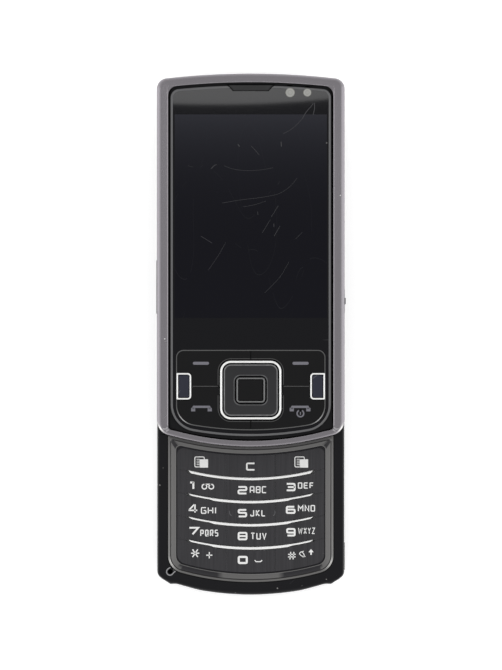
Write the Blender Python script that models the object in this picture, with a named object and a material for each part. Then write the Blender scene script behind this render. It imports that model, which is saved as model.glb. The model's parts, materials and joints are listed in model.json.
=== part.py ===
"""Slide phone, slid open and lying on its back.

Metres. +X is the phone's right, +Y its head, +Z out of its face. The origin is the middle of the
lower body's back. The upper body hangs on an empty that is one travel up the lower body.
"""

import math
from dataclasses import dataclass, replace

import bmesh
import bpy
from mathutils import Matrix, Vector

# Driving dimensions
BODY_WIDTH = 0.0539
BODY_LENGTH = 0.107
BASE_HEIGHT = 0.0092
SLIDER_HEIGHT = 0.0076
SLIDE_GAP = 0.0004
TRAVEL_SHARE = 0.3963
TAIL_RADIUS = 0.0862
HEAD_RADIUS = 0.214
BODY_CORNER = 0.003

# Clearances
SEAT_GAP = 0.0003
KEY_GAP = 0.0002
RUNNING_GAP = 0.0002
KEY_TRAVEL = 0.00025
OVERRUN = 0.001

# Facets
ARC_STEPS = 5
CORNER_STEPS = 5
EDGE_STEPS = 4
ROUND_STEPS = 24

HALF_WIDTH = BODY_WIDTH / 2
HALF_LENGTH = BODY_LENGTH / 2
TRAVEL = BODY_LENGTH * TRAVEL_SHARE

# Lower body: housings
SEAM_HEIGHT = 0.006
WALL = 0.0012
REAR_FLOOR = 0.0014
BACK_EDGE_HEIGHT = 0.0035
BACK_EDGE_INSET = 0.0028
FACE_EDGE_HEIGHT = 0.0012
FACE_EDGE_INSET = 0.0013
FACE_PLATE = 0.0021
TAIL_NOTCH_SHARE = 0.825
TAIL_NOTCH_RADIUS = 0.0012
TAIL_NOTCH_DEPTH = 0.0003

# Lower body: keypad bezel
LEG_WIDTH = 0.0033
TAIL_BAND = 0.0032
BEZEL_HEAD_MARGIN = 0.0008
BEZEL_TAIL_RADIUS = 0.0747
BEZEL_HEAD_RADIUS = 0.0795
BEZEL_CORNER = 0.005
BEZEL_HEAD_CORNER = 0.001
BEZEL_HEIGHT = 0.0015
BEZEL_RECESS = 0.0001
LINE_WIDTH = 0.00055
GROOVE_WIDTH = 0.0002
GROOVE_DEPTH = 0.00025
LEDGE_WIDTH = 0.00135
LEDGE_DEPTH = 0.0004
LEDGE_START_DEPTH = 0.00015
TAIL_EXTRA_BAND = 0.0004
HEAD_LESS_BAND = 0.0009

# Lower body: keypad
PLATE_GAP = 0.00025
PLATE_CORNER = 0.003
PLATE_HEAD_CORNER = 0.0017
KEY_HEIGHT = 0.00085
KEY_RECESS = 0.00035
ROW_SHARES = (0.792, 0.597, 0.402, 0.207)
COLUMNS = 3
BAR_RADIUS = 0.0704
TOP_BAR_RADIUS = 0.082
BAR_REACH_SHARE = 0.84
BAR_THICKNESS = 0.00085
BAR_TIP_THICKNESS = 0.0005
BAR_STEP_REACH_SHARE = 0.554
BAR_STEP_LENGTH = 0.0008
BAR_HEIGHT = 0.0011
BAR_RECESS = 0.00012
BAR_BEVEL = 0.00012
SLOT_RAMP = 0.0004
MAT_HEIGHT = 0.0007
MAT_FLANGE_HEIGHT = 0.0004
MAT_FLANGE = 0.0011
BOARD_HEIGHT = 0.0006
BOARD_GAP = 0.0003
BOARD_MARGIN = 0.0022

# Lower body: slide rails
RAIL_MARGIN = 0.0084
RAIL_KEYPAD_MARGIN = 0.0031
RAIL_HEAD_MARGIN = 0.0023
RAIL_WALL = 0.0006
RAIL_LIP = 0.002
RAIL_LIP_HEIGHT = 0.0004
RAIL_CHANNEL = 0.0008
RAIL_FLOOR = 0.0006
RAIL_SCREW_RADIUS = 0.0007
RAIL_SCREW_MARGIN = 0.0032
RAIL_SCREW_X_SHARE = 0.7

# Lower body: back
COVER_MARGIN = 0.007
COVER_HEIGHT = 0.0012
COVER_HEAD_SHARE = 0.3
COVER_SLIDE = 0.008
GRIP_LENGTH = 0.012
GRIP_WIDTH = 0.0006
GRIP_DEPTH = 0.0004
GRIP_PITCH = 0.0018
GRIP_COUNT = 3
GRIP_TAIL_MARGIN = 0.008
BATTERY_HEIGHT = 0.0042
BATTERY_MARGIN = 0.003
BATTERY_TAIL_MARGIN = 0.009
BATTERY_CORNER = 0.0015
CAMERA_HEAD_MARGIN = 0.0135
WINDOW_RADIUS = 0.004
WINDOW_HEIGHT = 0.0008
WINDOW_RECESS = 0.00025
CAMERA_BARREL_RADIUS = 0.0032
CAMERA_BARREL_HEIGHT = 0.0003
CAMERA_RADIUS = 0.0048
SPEAKER_LENGTH = 0.01
SPEAKER_WIDTH = 0.012
SPEAKER_X_SHARE = -0.5195
SPEAKER_HEAD_MARGIN = 0.0125
SPEAKER_CORNER = 0.002
SOUND_SLOT_LENGTH = 0.006
SOUND_SLOT_WIDTH = 0.0008
SOUND_SLOT_PITCH = 0.0022
SOUND_SLOT_COUNT = 3

# Lower body: keys on the sides
SIDE_KEY_Z = 0.004
SIDE_KEY_HALF_HEIGHT = 0.0011
FLANGE_THICKNESS = 0.0007
FLANGE_MARGIN = 0.0006
SIDE_KEY_BEVEL = 0.0001
ROCKER_HEAD_MARGIN = 0.0111
ROCKER_LENGTH = 0.0155
ROCKER_PROUD = 0.00025
ROCKER_ANGLE = 1.5
HOLD_HEAD_MARGIN = 0.0195
HOLD_LENGTH = 0.0069
HOLD_PROUD = 0.00015
HOLD_NUB_LENGTH = 0.002
HOLD_NUB_PROUD = 0.0004
HOLD_TRAVEL = 0.0015
SHUTTER_TAIL_MARGIN = 0.0066
SHUTTER_LENGTH = 0.008
SHUTTER_PROUD = 0.00015
PORT_HEAD_MARGIN = 0.0385
PORT_LENGTH = 0.01
PORT_HALF_HEIGHT = 0.0012
FLAP_THICKNESS = 0.0009
FLAP_PULL_DEPTH = 0.0003
FLAP_PULL_LENGTH = 0.0012
SOCKET_LENGTH = 0.0084
SOCKET_DEPTH = 0.0055
SOCKET_BORE_LENGTH = 0.0068
SOCKET_BORE_HEIGHT = 0.0016
SOCKET_BORE_DEPTH = 0.004
SOCKET_HALF_HEIGHT = 0.00125

# Lower body: lanyard hole
LANYARD_LEG_SHARE = 0.86
LANYARD_TAIL_MARGIN = 0.0063
LANYARD_RADIUS = 0.00065

# Upper body: back cover, frame and chassis
COVER_PLATE = 0.001
COVER_EDGE_HEIGHT = 0.0005
COVER_EDGE_INSET = 0.0009
COVER_INSET = 0.00015
FRAME_FOOT_INSET = 0.0001
FRAME_FOOT_HEIGHT = 0.001
FRAME_SIDE = 0.00335
FRAME_TAIL = 0.0016
FRAME_HEAD = 0.00225
FRAME_ROUND_HEIGHT = 0.0015
FRAME_ROUND_SHARE = 0.42
FRAME_SLOPE = 0.0001
FRAME_LIP = 0.00018
FRAME_INNER_CORNER = 0.0006
FRAME_HEAD_CORNER = 0.0028
CHASSIS_DEPTH = 0.0014
WINDOW_GAP_SIDE = 0.00055
WINDOW_GAP_TAIL = 0.0013
WINDOW_GAP_HEAD = 0.001
GLASS_HEIGHT = 0.0009
GLASS_RECESS = 0.0002
GLASS_BEVEL = 0.00065
GLASS_BEVEL_HEIGHT = 0.00025
GLASS_TAIL_RADIUS = 0.0963
GLASS_TAIL_CORNER = 0.00775
GLASS_HEAD_CORNER = 0.0024

# Upper body: key deck
DECK_MARGIN = 0.0023
DECK_TAIL_MARGIN = 0.0031
DECK_LENGTH = 0.0228
DECK_TAIL_RADIUS = 0.099
DECK_TAIL_CORNER = 0.0057
DECK_HEAD_CORNER = 0.002
DECK_GROOVE = 0.00035
DECK_KEY_HEIGHT = 0.0011
DECK_POCKET_GAP = 0.0003
FUNCTION_BOARD_HEIGHT = 0.0007
FUNCTION_KEY_CLEARANCE = 0.0005
POCKET_DEPTH = 0.0014
DIVIDER_SHARE = 0.548

# Upper body: navigation key
NAV_Y_SHARE = 0.5
NAV_HALF_WIDTH = 0.00885
NAV_HALF_LENGTH = 0.0086
NAV_CORNER = 0.0031
NAV_BAND = 0.00075
NAV_PROUD = 0.0002
NAV_BEVEL = 0.0002
NAV_RING_GAP = 0.0005
NAV_RING_BAND_X = 0.00295
NAV_RING_BAND_Y = 0.003
NAV_RING_CORNER = 0.002
NAV_RING_EDGE = 0.00025
NAV_RING_DISH = 0.0003
NAV_RING_LIFT = 0.0001
NAV_TILT = 1.5
SELECT_FRAME_GAP = 0.0006
SELECT_FRAME_BAND = 0.00045
SELECT_CORNER = 0.0009
SELECT_PROUD = 0.0001
COLLAR_MARGIN = 0.0021
COLLAR_WALL = 0.0009
COLLAR_HEIGHT = 0.00015
COLLAR_GAP = 0.0002

# Upper body: side keys of the deck
TAB_WIDTH = 0.0042
TAB_LENGTH = 0.0076
TAB_OFFSET_SHARE = 0.05
TAB_BAND = 0.0005
TAB_CORNER = 0.001
TAB_OUTER_CORNER = 0.0002
TAB_PROUD = 0.00015

# Upper body: display, earpiece and sensors
DISPLAY_TOP_MARGIN = 0.0091
DISPLAY_LOW_MARGIN = 0.0063
DISPLAY_MARGIN = 0.0016
DISPLAY_HEIGHT = 0.0023
DISPLAY_GAP = 0.0003
EAR_TOP_MARGIN = 0.0034
EAR_SLOT_HEIGHT = 0.0015
EAR_SLOT_SHARE = 0.2707
EAR_SLOT_TAPER = 0.0013
EAR_SLOT_RECESS = 0.0003
EAR_MARGIN = 0.00056
EAR_LENGTH = 0.0045
EAR_HEIGHT = 0.0019
LENS_HEAD_MARGIN = 0.0055
LENS_X_SHARE = 0.4902
LENS_RADIUS = 0.00133
LENS_BODY_RADIUS = 0.002
LENS_BODY_HEIGHT = 0.002
SENSOR_X_SHARE = 0.7046
SENSOR_RADIUS = 0.00115
SENSOR_BODY_RADIUS = 0.0017
LENS_RECESS = 0.00005

# Slide mechanism: carriage, spring and flex cable
CARRIAGE_LEG = 0.0018
CARRIAGE_PLATE = 0.0004
TONGUE_HEIGHT = 0.0004
SPRING_WIRE = 0.0006
SPRING_RADIUS_SHARE = 0.3342
SPRING_EYE_SHARE = 0.1774
SPRING_STEPS = 16
SPRING_X_SHARE = -0.2426
SPRING_SWEEP = 200.0
FLEX_X_SHARE = 0.5121
FLEX_WIDTH_SHARE = 0.3774
FLEX_THICKNESS = 0.00015
FLEX_BEND = 0.00025
FLEX_LENGTH = 0.018
FLEX_MARGIN = 0.008
FLEX_SLOT_LENGTH = 0.0025
CARRIAGE_SCREW_RADIUS = 0.0006
CARRIAGE_SCREW_MARGIN = 0.0022

# Colour, roughness and metallic value of each finish
FINISHES = {
    "gloss_black": ((0.012, 0.012, 0.014), 0.12, 0.0),
    "satin_black": ((0.02, 0.02, 0.022), 0.45, 0.0),
    "silver_frame": ((0.16, 0.155, 0.165), 0.3, 0.8),
    "bezel_silver": ((0.19, 0.185, 0.18), 0.32, 0.85),
    "bright_metal": ((0.85, 0.85, 0.84), 0.18, 1.0),
    "brushed_plate": ((0.055, 0.055, 0.058), 0.35, 0.7),
    "window_glass": ((0.01, 0.01, 0.012), 0.05, 0.0),
    "display_black": ((0.008, 0.008, 0.01), 0.3, 0.0),
    "key_black": ((0.013, 0.013, 0.014), 0.15, 0.0),
    "nav_grey": ((0.035, 0.035, 0.037), 0.3, 0.2),
    "tab_blue": ((0.028, 0.031, 0.05), 0.2, 0.1),
    "lens_grey": ((0.4, 0.4, 0.4), 0.2, 0.3),
    "clear_window": ((0.03, 0.03, 0.035), 0.05, 0.0),
    "board_green": ((0.02, 0.12, 0.05), 0.5, 0.0),
    "silicone": ((0.5, 0.5, 0.5), 0.7, 0.0),
    "steel": ((0.55, 0.55, 0.56), 0.3, 1.0),
    "spring_steel": ((0.45, 0.45, 0.46), 0.3, 1.0),
    "battery_grey": ((0.25, 0.26, 0.28), 0.5, 0.0),
    "flex_amber": ((0.4, 0.16, 0.03), 0.4, 0.0),
}


@dataclass(frozen=True)
class Outline:
    """A plan with straight sides and arched ends. A negative end radius bends that end inwards."""

    half_width: float
    low: float
    high: float
    low_radius: float
    high_radius: float
    low_corner: float
    high_corner: float

    def inset(self, side, low=None, high=None, corner=None):
        """The plan moved in by side, and by low and high at its ends where those are given."""
        low = side if low is None else low
        high = side if high is None else high
        least = corner if corner is not None else min(self.low_corner, self.high_corner) / 2
        return Outline(
            self.half_width - side,
            self.low + low,
            self.high - high,
            self.low_radius - low if self.low_radius else 0,
            self.high_radius - high if self.high_radius else 0,
            max(self.low_corner - side, least),
            max(self.high_corner - side, least),
        )

    def end_points(self, apex, radius, corner):
        """The right half of an end that lies up +Y: side, round corner, arc and apex."""
        reach = self.half_width - corner
        if radius:
            sign = math.copysign(1, radius)
            centre = apex - radius
            across = abs(radius) - sign * corner
            corner_y = centre + sign * math.sqrt(across**2 - reach**2)
            turn = math.atan2(sign * (corner_y - centre), sign * reach)
        else:
            corner_y = apex - corner
            turn = math.pi / 2
        points = []
        for k in range(CORNER_STEPS + 1):
            angle = turn * k / CORNER_STEPS
            points.append((reach + corner * math.cos(angle), corner_y + corner * math.sin(angle)))
        contact = points[-1][0]
        for k in range(1, ARC_STEPS + 1):
            x = contact * (1 - k / ARC_STEPS)
            points.append((x, arc_height(x, apex, radius)))
        return points

    def points(self):
        """The whole plan, anticlockwise from the apex of its low end."""
        top = self.end_points(self.high, self.high_radius, self.high_corner)
        tail = self.end_points(-self.low, self.low_radius, self.low_corner)
        low_right = [(x, -y) for x, y in reversed(tail)]
        high_left = [(-x, y) for x, y in reversed(top[:-1])]
        low_left = [(-x, -y) for x, y in tail[:-1]]
        return low_right + top + high_left + low_left

    def edge(self, x, upper):
        """Height of the upper or lower end's edge at x, its round corner included."""
        apex, radius, corner = (
            (self.high, self.high_radius, self.high_corner)
            if upper
            else (-self.low, self.low_radius, self.low_corner)
        )
        points = self.end_points(apex, radius, corner)
        corner_x, corner_y = points[CORNER_STEPS]
        if abs(x) <= corner_x:
            height = arc_height(abs(x), apex, radius)
        else:
            reach = self.half_width - corner
            along = min(abs(x) - reach, corner)
            height = points[0][1] + math.sqrt(corner**2 - along**2)
        return height if upper else -height


def arc_height(x, apex, radius):
    """Height at x of an arc whose middle is at apex."""
    if not radius:
        return apex
    return apex - radius + math.copysign(math.sqrt(radius**2 - x**2), radius)


def rounded_rectangle(half_x, half_y, corner, left_corner=None):
    """Anticlockwise plan of a rectangle with round corners, its left ones of their own radius."""
    left_corner = corner if left_corner is None else left_corner
    points = []
    for quarter, (side, end) in enumerate(((1, 1), (-1, 1), (-1, -1), (1, -1))):
        radius = corner if side > 0 else left_corner
        for k in range(CORNER_STEPS + 1):
            angle = math.pi / 2 * (quarter + k / CORNER_STEPS)
            x = side * (half_x - radius) + radius * math.cos(angle)
            y = end * (half_y - radius) + radius * math.sin(angle)
            points.append((x, y))
    return points


def at_height(points, z, centre=(0, 0)):
    """A flat plan moved to a centre and a height."""
    return [(x + centre[0], y + centre[1], z) for x, y in points]


def circle(radius):
    """Anticlockwise plan of a circle."""
    turns = (2 * math.pi * k / ROUND_STEPS for k in range(ROUND_STEPS))
    return [(radius * math.cos(turn), radius * math.sin(turn)) for turn in turns]


def quarter_round(height, inset):
    """Heights and insets of a quarter ellipse, from a level edge to an upright one."""
    steps = []
    for k in range(EDGE_STEPS + 1):
        angle = math.pi / 2 * k / EDGE_STEPS
        steps.append((height * (1 - math.cos(angle)), inset * (1 - math.sin(angle))))
    return steps


def loft(rings, closed=False):
    """A mesh that joins rings of equally many points, with end caps unless it closes on itself."""
    bm = bmesh.new()
    rows = [[bm.verts.new(point) for point in ring] for ring in rings]
    spans = len(rows) if closed else len(rows) - 1
    for k in range(spans):
        lower = rows[k]
        upper = rows[(k + 1) % len(rows)]
        for i, vertex in enumerate(lower):
            j = (i + 1) % len(lower)
            bm.faces.new((vertex, lower[j], upper[j], upper[i]))
    if not closed:
        bm.faces.new(reversed(rows[0]))
        bm.faces.new(rows[-1])
    bmesh.ops.recalc_face_normals(bm, faces=bm.faces)
    return bm


def prism(points, low, high, centre=(0, 0)):
    """A flat plan carried from one height to another."""
    return loft([at_height(points, low, centre), at_height(points, high, centre)])


def box(x_range, y_range, z_range):
    """A plain block between pairs of limits."""
    (x0, x1), (y0, y1), (z0, z1) = x_range, y_range, z_range
    return prism([(x0, y0), (x1, y0), (x1, y1), (x0, y1)], z0, z1)


def strip(stations, low_edge, high_edge, z0, z1, bevel=0):
    """A plate between two edges that are functions of x, with an optional bevel round its top."""
    lower = [(x, low_edge(x)) for x in stations]
    upper = [(x, high_edge(x)) for x in reversed(stations)]
    outline = lower + upper
    rings = [at_height(outline, z0)]
    if bevel:
        middle = sum(stations) / len(stations)
        reach = stations[-1] - middle
        shrink = 1 - bevel / reach
        lower_in = [(middle + (x - middle) * shrink, y + bevel) for x, y in lower]
        upper_in = [(middle + (x - middle) * shrink, y - bevel) for x, y in upper]
        rings.append(at_height(outline, z1 - bevel))
        rings.append(at_height(lower_in + upper_in, z1))
    else:
        rings.append(at_height(outline, z1))
    return loft(rings)


def profile_along_y(profile, y0, y1):
    """An XZ profile, clockwise seen along +Y, carried from y0 to y1."""
    return loft([[(x, y0, z) for x, z in profile], [(x, y1, z) for x, z in profile]])


def turned(profile, centre):
    """Circles of (radius, height) joined into a solid round an upright axis."""
    return loft([at_height(circle(radius), z, centre) for radius, z in profile])


def finish_material(name):
    """The Principled material of a named finish."""
    if name in bpy.data.materials:
        return bpy.data.materials[name]
    colour, roughness, metallic = FINISHES[name]
    material = bpy.data.materials.new(name)
    material.use_nodes = True
    shader = material.node_tree.nodes["Principled BSDF"]
    shader.inputs["Base Color"].default_value = (*colour, 1)
    shader.inputs["Roughness"].default_value = roughness
    shader.inputs["Metallic"].default_value = metallic
    return material


def add_piece(name, bm, finish, body=None, origin=(0, 0, 0)):
    """Makes an object of a mesh, with its own origin, under the body that carries it."""
    mesh = bpy.data.meshes.new(name)
    bm.to_mesh(mesh)
    bm.free()
    mesh.transform(Matrix.Translation(-Vector(origin)))
    mesh.shade_smooth()
    mesh.set_sharp_from_angle(angle=math.radians(30))
    piece = bpy.data.objects.new(name, mesh)
    piece.location = origin
    piece.parent = body
    bpy.context.collection.objects.link(piece)
    if finish:
        mesh.materials.append(finish_material(finish))
    return piece


def cut(piece, bm, body=None, operation="DIFFERENCE"):
    """Cuts a hidden mesh out of a piece, or keeps only what lies in it."""
    name = f"{piece.name}_cutter_{len(piece.modifiers)}"
    cutter = add_piece(name, bm, None, body)
    cutter.hide_render = True
    cutter.display_type = "WIRE"
    boolean = piece.modifiers.new(name, "BOOLEAN")
    boolean.operation = operation
    boolean.solver = "EXACT"
    boolean.object = cutter


def add_empty(name, location):
    """An empty that carries the pieces of a moving body."""
    empty = bpy.data.objects.new(name, None)
    empty.location = location
    bpy.context.collection.objects.link(empty)
    return empty


# Outlines that several pieces share
BODY = Outline(
    HALF_WIDTH, -HALF_LENGTH, HALF_LENGTH, TAIL_RADIUS, HEAD_RADIUS, BODY_CORNER, BODY_CORNER
)
BEZEL = Outline(
    HALF_WIDTH - LEG_WIDTH,
    -HALF_LENGTH + TAIL_BAND,
    -HALF_LENGTH + TRAVEL - BEZEL_HEAD_MARGIN,
    BEZEL_TAIL_RADIUS,
    -BEZEL_HEAD_RADIUS,
    BEZEL_CORNER,
    BEZEL_HEAD_CORNER,
)
BEZEL_BAND = LINE_WIDTH + GROOVE_WIDTH + LEDGE_WIDTH
LEDGE_INNER = BEZEL.inset(
    BEZEL_BAND, BEZEL_BAND + TAIL_EXTRA_BAND, BEZEL_BAND - HEAD_LESS_BAND, BEZEL_HEAD_CORNER
)
PLATE = replace(
    LEDGE_INNER.inset(PLATE_GAP), low_corner=PLATE_CORNER, high_corner=PLATE_HEAD_CORNER
)
FRAME_OPENING = replace(
    BODY.inset(FRAME_SIDE, FRAME_TAIL, FRAME_HEAD, FRAME_INNER_CORNER),
    low_corner=FRAME_INNER_CORNER,
    high_corner=FRAME_HEAD_CORNER,
)
GLASS = replace(
    FRAME_OPENING.inset(WINDOW_GAP_SIDE, WINDOW_GAP_TAIL, WINDOW_GAP_HEAD),
    low_radius=GLASS_TAIL_RADIUS,
    low_corner=GLASS_TAIL_CORNER,
    high_corner=GLASS_HEAD_CORNER,
)
DECK = Outline(
    FRAME_OPENING.half_width - DECK_MARGIN,
    FRAME_OPENING.low + DECK_TAIL_MARGIN,
    FRAME_OPENING.low + DECK_TAIL_MARGIN + DECK_LENGTH,
    DECK_TAIL_RADIUS,
    0,
    DECK_TAIL_CORNER,
    DECK_HEAD_CORNER,
)

# Heights of the lower body's layers
PLATE_TOP = BASE_HEIGHT - KEY_RECESS
PLATE_BOTTOM = PLATE_TOP - KEY_HEIGHT
MAT_TOP = PLATE_BOTTOM - KEY_TRAVEL - KEY_GAP
MAT_BOTTOM = MAT_TOP - MAT_HEIGHT
BOARD_TOP = MAT_BOTTOM - BOARD_GAP
BOARD_BOTTOM = BOARD_TOP - BOARD_HEIGHT
COVER_CLEAR = COVER_HEIGHT + SEAT_GAP
BEZEL_TOP = BASE_HEIGHT - BEZEL_RECESS
CHANNEL_TOP = BASE_HEIGHT - RAIL_LIP_HEIGHT
CHANNEL_BOTTOM = CHANNEL_TOP - RAIL_CHANNEL
RAIL_BOTTOM = CHANNEL_BOTTOM - RAIL_FLOOR
COMPONENT_TOP = BOARD_BOTTOM - SEAT_GAP

# Heights of the upper body's layers
SLIDER_BOTTOM = BASE_HEIGHT + SLIDE_GAP
SLIDER_TOP = SLIDER_BOTTOM + SLIDER_HEIGHT
FRAME_BOTTOM = SLIDER_BOTTOM + COVER_PLATE + SEAT_GAP
GLASS_TOP = SLIDER_TOP - GLASS_RECESS
GLASS_BOTTOM = GLASS_TOP - GLASS_HEIGHT
CHASSIS_TOP = SLIDER_TOP - CHASSIS_DEPTH
DECK_KEY_BOTTOM = GLASS_TOP - DECK_KEY_HEIGHT
FUNCTION_BOARD_TOP = DECK_KEY_BOTTOM - FUNCTION_KEY_CLEARANCE
FUNCTION_BOARD_BOTTOM = FUNCTION_BOARD_TOP - FUNCTION_BOARD_HEIGHT

# Places on the upper body, in its own frame
NAV_CENTRE = (0, DECK.low + (DECK.high - DECK.low) * NAV_Y_SHARE)
DIVIDER_Y = DECK.low + (DECK.high - DECK.low) * DIVIDER_SHARE
TAB_CENTRE_Y = DIVIDER_Y
EAR_SLOT_HIGH = HALF_LENGTH - EAR_TOP_MARGIN
EAR_SLOT_TOP = GLASS.half_width * EAR_SLOT_SHARE
EAR_SLOT_LOW = EAR_SLOT_TOP - EAR_SLOT_TAPER
EAR_HALF_WIDTH = EAR_SLOT_TOP + EAR_MARGIN
LENS_X = GLASS.half_width * LENS_X_SHARE
SENSOR_X = GLASS.half_width * SENSOR_X_SHARE
LENS_Y = HALF_LENGTH - LENS_HEAD_MARGIN

# Places on the lower body
RAIL_HALF = HALF_WIDTH - RAIL_MARGIN
RAIL_LOW = BEZEL.high + RAIL_KEYPAD_MARGIN + BEZEL_HEIGHT
RAIL_HIGH = HALF_LENGTH - RAIL_HEAD_MARGIN
SPRING_X = RAIL_HALF * SPRING_X_SHARE
SPRING_RADIUS = RAIL_HALF * SPRING_RADIUS_SHARE
SPRING_EYE_RADIUS = SPRING_RADIUS * SPRING_EYE_SHARE
FLEX_X = RAIL_HALF * FLEX_X_SHARE
FLEX_WIDTH = RAIL_HALF * FLEX_WIDTH_SHARE
FLEX_LOW = (RAIL_LOW + RAIL_HIGH) / 2 + FLEX_MARGIN - FLEX_LENGTH
CAMERA_CENTRE = (0, HALF_LENGTH - CAMERA_HEAD_MARGIN)
SPEAKER_CENTRE = (HALF_WIDTH * SPEAKER_X_SHARE, HALF_LENGTH - SPEAKER_HEAD_MARGIN)
COVER_HALF = HALF_WIDTH - COVER_MARGIN
COVER_HIGH = HALF_LENGTH * COVER_HEAD_SHARE
ROCKER_Y = HALF_LENGTH - ROCKER_HEAD_MARGIN - ROCKER_LENGTH / 2
HOLD_Y = HALF_LENGTH - HOLD_HEAD_MARGIN - HOLD_LENGTH / 2
SHUTTER_Y = -HALF_LENGTH + SHUTTER_TAIL_MARGIN + SHUTTER_LENGTH / 2
PORT_Y = HALF_LENGTH - PORT_HEAD_MARGIN


def back_inset(z):
    """How far the rounded back edge stands in at height z."""
    share = min(z / BACK_EDGE_HEIGHT, 1)
    return BACK_EDGE_INSET * (1 - math.sin(math.acos(1 - share)))


def build_rear_housing():
    """The open tub of the lower body, with its cover opening, camera hole and side slots."""
    rings = [
        at_height(BODY.inset(inset).points(), z)
        for z, inset in quarter_round(BACK_EDGE_HEIGHT, BACK_EDGE_INSET)
    ]
    rings.append(at_height(BODY.points(), SEAM_HEIGHT))
    rings.append(at_height(BODY.inset(WALL).points(), SEAM_HEIGHT))
    knee = SIDE_KEY_Z - SIDE_KEY_HALF_HEIGHT - FLANGE_MARGIN - SEAT_GAP
    rings.append(at_height(BODY.inset(WALL).points(), knee))
    floor_inset = WALL + back_inset(REAR_FLOOR)
    rings.append(at_height(BODY.inset(floor_inset).points(), REAR_FLOOR))
    housing = add_piece("rear_housing", loft(rings), "gloss_black")
    cover_half = COVER_HALF + SEAT_GAP
    cut(
        housing,
        box(
            (-cover_half, cover_half),
            (-HALF_LENGTH - OVERRUN, COVER_HIGH + SEAT_GAP),
            (-OVERRUN, COVER_CLEAR),
        ),
    )
    hole = circle(WINDOW_RADIUS + SEAT_GAP)
    cut(housing, prism(hole, -OVERRUN, COVER_CLEAR + OVERRUN, CAMERA_CENTRE))
    for k in range(SOUND_SLOT_COUNT):
        y = SPEAKER_CENTRE[1] + (k - (SOUND_SLOT_COUNT - 1) / 2) * SOUND_SLOT_PITCH
        slot = rounded_rectangle(SOUND_SLOT_LENGTH / 2, SOUND_SLOT_WIDTH / 2, SOUND_SLOT_WIDTH / 4)
        cut(housing, prism(slot, -OVERRUN, COVER_CLEAR + OVERRUN, (SPEAKER_CENTRE[0], y)))
    cut_side_slot(housing, -1, ROCKER_Y, ROCKER_LENGTH / 2 + SEAT_GAP, SIDE_KEY_HALF_HEIGHT)
    cut_side_slot(housing, -1, PORT_Y, PORT_LENGTH / 2 + SEAT_GAP, PORT_HALF_HEIGHT)
    hold_half = (HOLD_LENGTH + HOLD_TRAVEL) / 2 + SEAT_GAP
    cut_side_slot(housing, 1, HOLD_Y + HOLD_TRAVEL / 2, hold_half, SIDE_KEY_HALF_HEIGHT)
    cut_side_slot(housing, 1, SHUTTER_Y, SHUTTER_LENGTH / 2 + SEAT_GAP, SIDE_KEY_HALF_HEIGHT)
    cut_tail_notches(housing)


def cut_tail_notches(housing):
    """Scoops a shallow notch out of the tail's edge near each corner."""
    for side in (-1, 1):
        x = side * HALF_WIDTH * TAIL_NOTCH_SHARE
        y = BODY.edge(x, upper=False) - TAIL_NOTCH_RADIUS + TAIL_NOTCH_DEPTH
        scoop = circle(TAIL_NOTCH_RADIUS)
        cut(housing, prism(scoop, COVER_CLEAR, BASE_HEIGHT + OVERRUN, (x, y)))


def cut_side_slot(housing, side, y, half_length, half_height):
    """Cuts a slot through the left or right wall for a key of the given half height."""
    inner = side * (HALF_WIDTH - WALL - OVERRUN)
    outer = side * (HALF_WIDTH + OVERRUN)
    half_height = half_height + SEAT_GAP
    cut(
        housing,
        box(
            (min(inner, outer), max(inner, outer)),
            (y - half_length, y + half_length),
            (SIDE_KEY_Z - half_height, SIDE_KEY_Z + half_height),
        ),
    )


def build_front_housing():
    """The face of the lower body: two legs and a tail round the keypad, open over the rails."""
    low = SEAM_HEIGHT + SEAT_GAP
    ceiling = BASE_HEIGHT - FACE_PLATE
    rings = [
        at_height(BODY.inset(WALL + SEAT_GAP).points(), ceiling),
        at_height(BODY.inset(WALL).points(), low),
        at_height(BODY.points(), low),
    ]
    for drop, inset in reversed(quarter_round(FACE_EDGE_HEIGHT, FACE_EDGE_INSET)):
        rings.append(at_height(BODY.inset(inset).points(), BASE_HEIGHT - drop))
    housing = add_piece("front_housing", loft(rings), "gloss_black")
    opening = BEZEL.inset(-SEAT_GAP).points()
    cut(housing, prism(opening, SEAM_HEIGHT, BASE_HEIGHT + OVERRUN))
    half = RAIL_HALF + SEAT_GAP
    cut(
        housing,
        box(
            (-half, half),
            (RAIL_LOW - SEAT_GAP, RAIL_HIGH + SEAT_GAP),
            (SEAM_HEIGHT, BASE_HEIGHT + OVERRUN),
        ),
    )
    lanyard = (-HALF_WIDTH * LANYARD_LEG_SHARE, -HALF_LENGTH + LANYARD_TAIL_MARGIN)
    cut(housing, prism(circle(LANYARD_RADIUS), SEAM_HEIGHT, BASE_HEIGHT + OVERRUN, lanyard))
    cut_tail_notches(housing)


def bezel_ring(side, z):
    """One loop of the bezel, in by side at its sides and by matching bands at its ends."""
    share = side / BEZEL_BAND
    low = side + TAIL_EXTRA_BAND * share
    high = side - HEAD_LESS_BAND * share
    return at_height(BEZEL.inset(side, low, high, BEZEL_HEAD_CORNER).points(), z)


def build_bezel():
    """The keypad's frame: a thin raised line, a groove, and a ledge that slopes in to the keys."""
    bottom = BEZEL_TOP - BEZEL_HEIGHT
    rings = [
        bezel_ring(BEZEL_BAND, bottom),
        bezel_ring(0, bottom),
        bezel_ring(0, BEZEL_TOP),
        bezel_ring(LINE_WIDTH, BEZEL_TOP),
        bezel_ring(LINE_WIDTH + GROOVE_WIDTH / 2, BEZEL_TOP - GROOVE_DEPTH),
        bezel_ring(LINE_WIDTH + GROOVE_WIDTH, BEZEL_TOP - LEDGE_START_DEPTH),
        bezel_ring(BEZEL_BAND, BEZEL_TOP - LEDGE_DEPTH),
    ]
    add_piece("keypad_bezel", loft(rings, closed=True), "bezel_silver")


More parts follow.
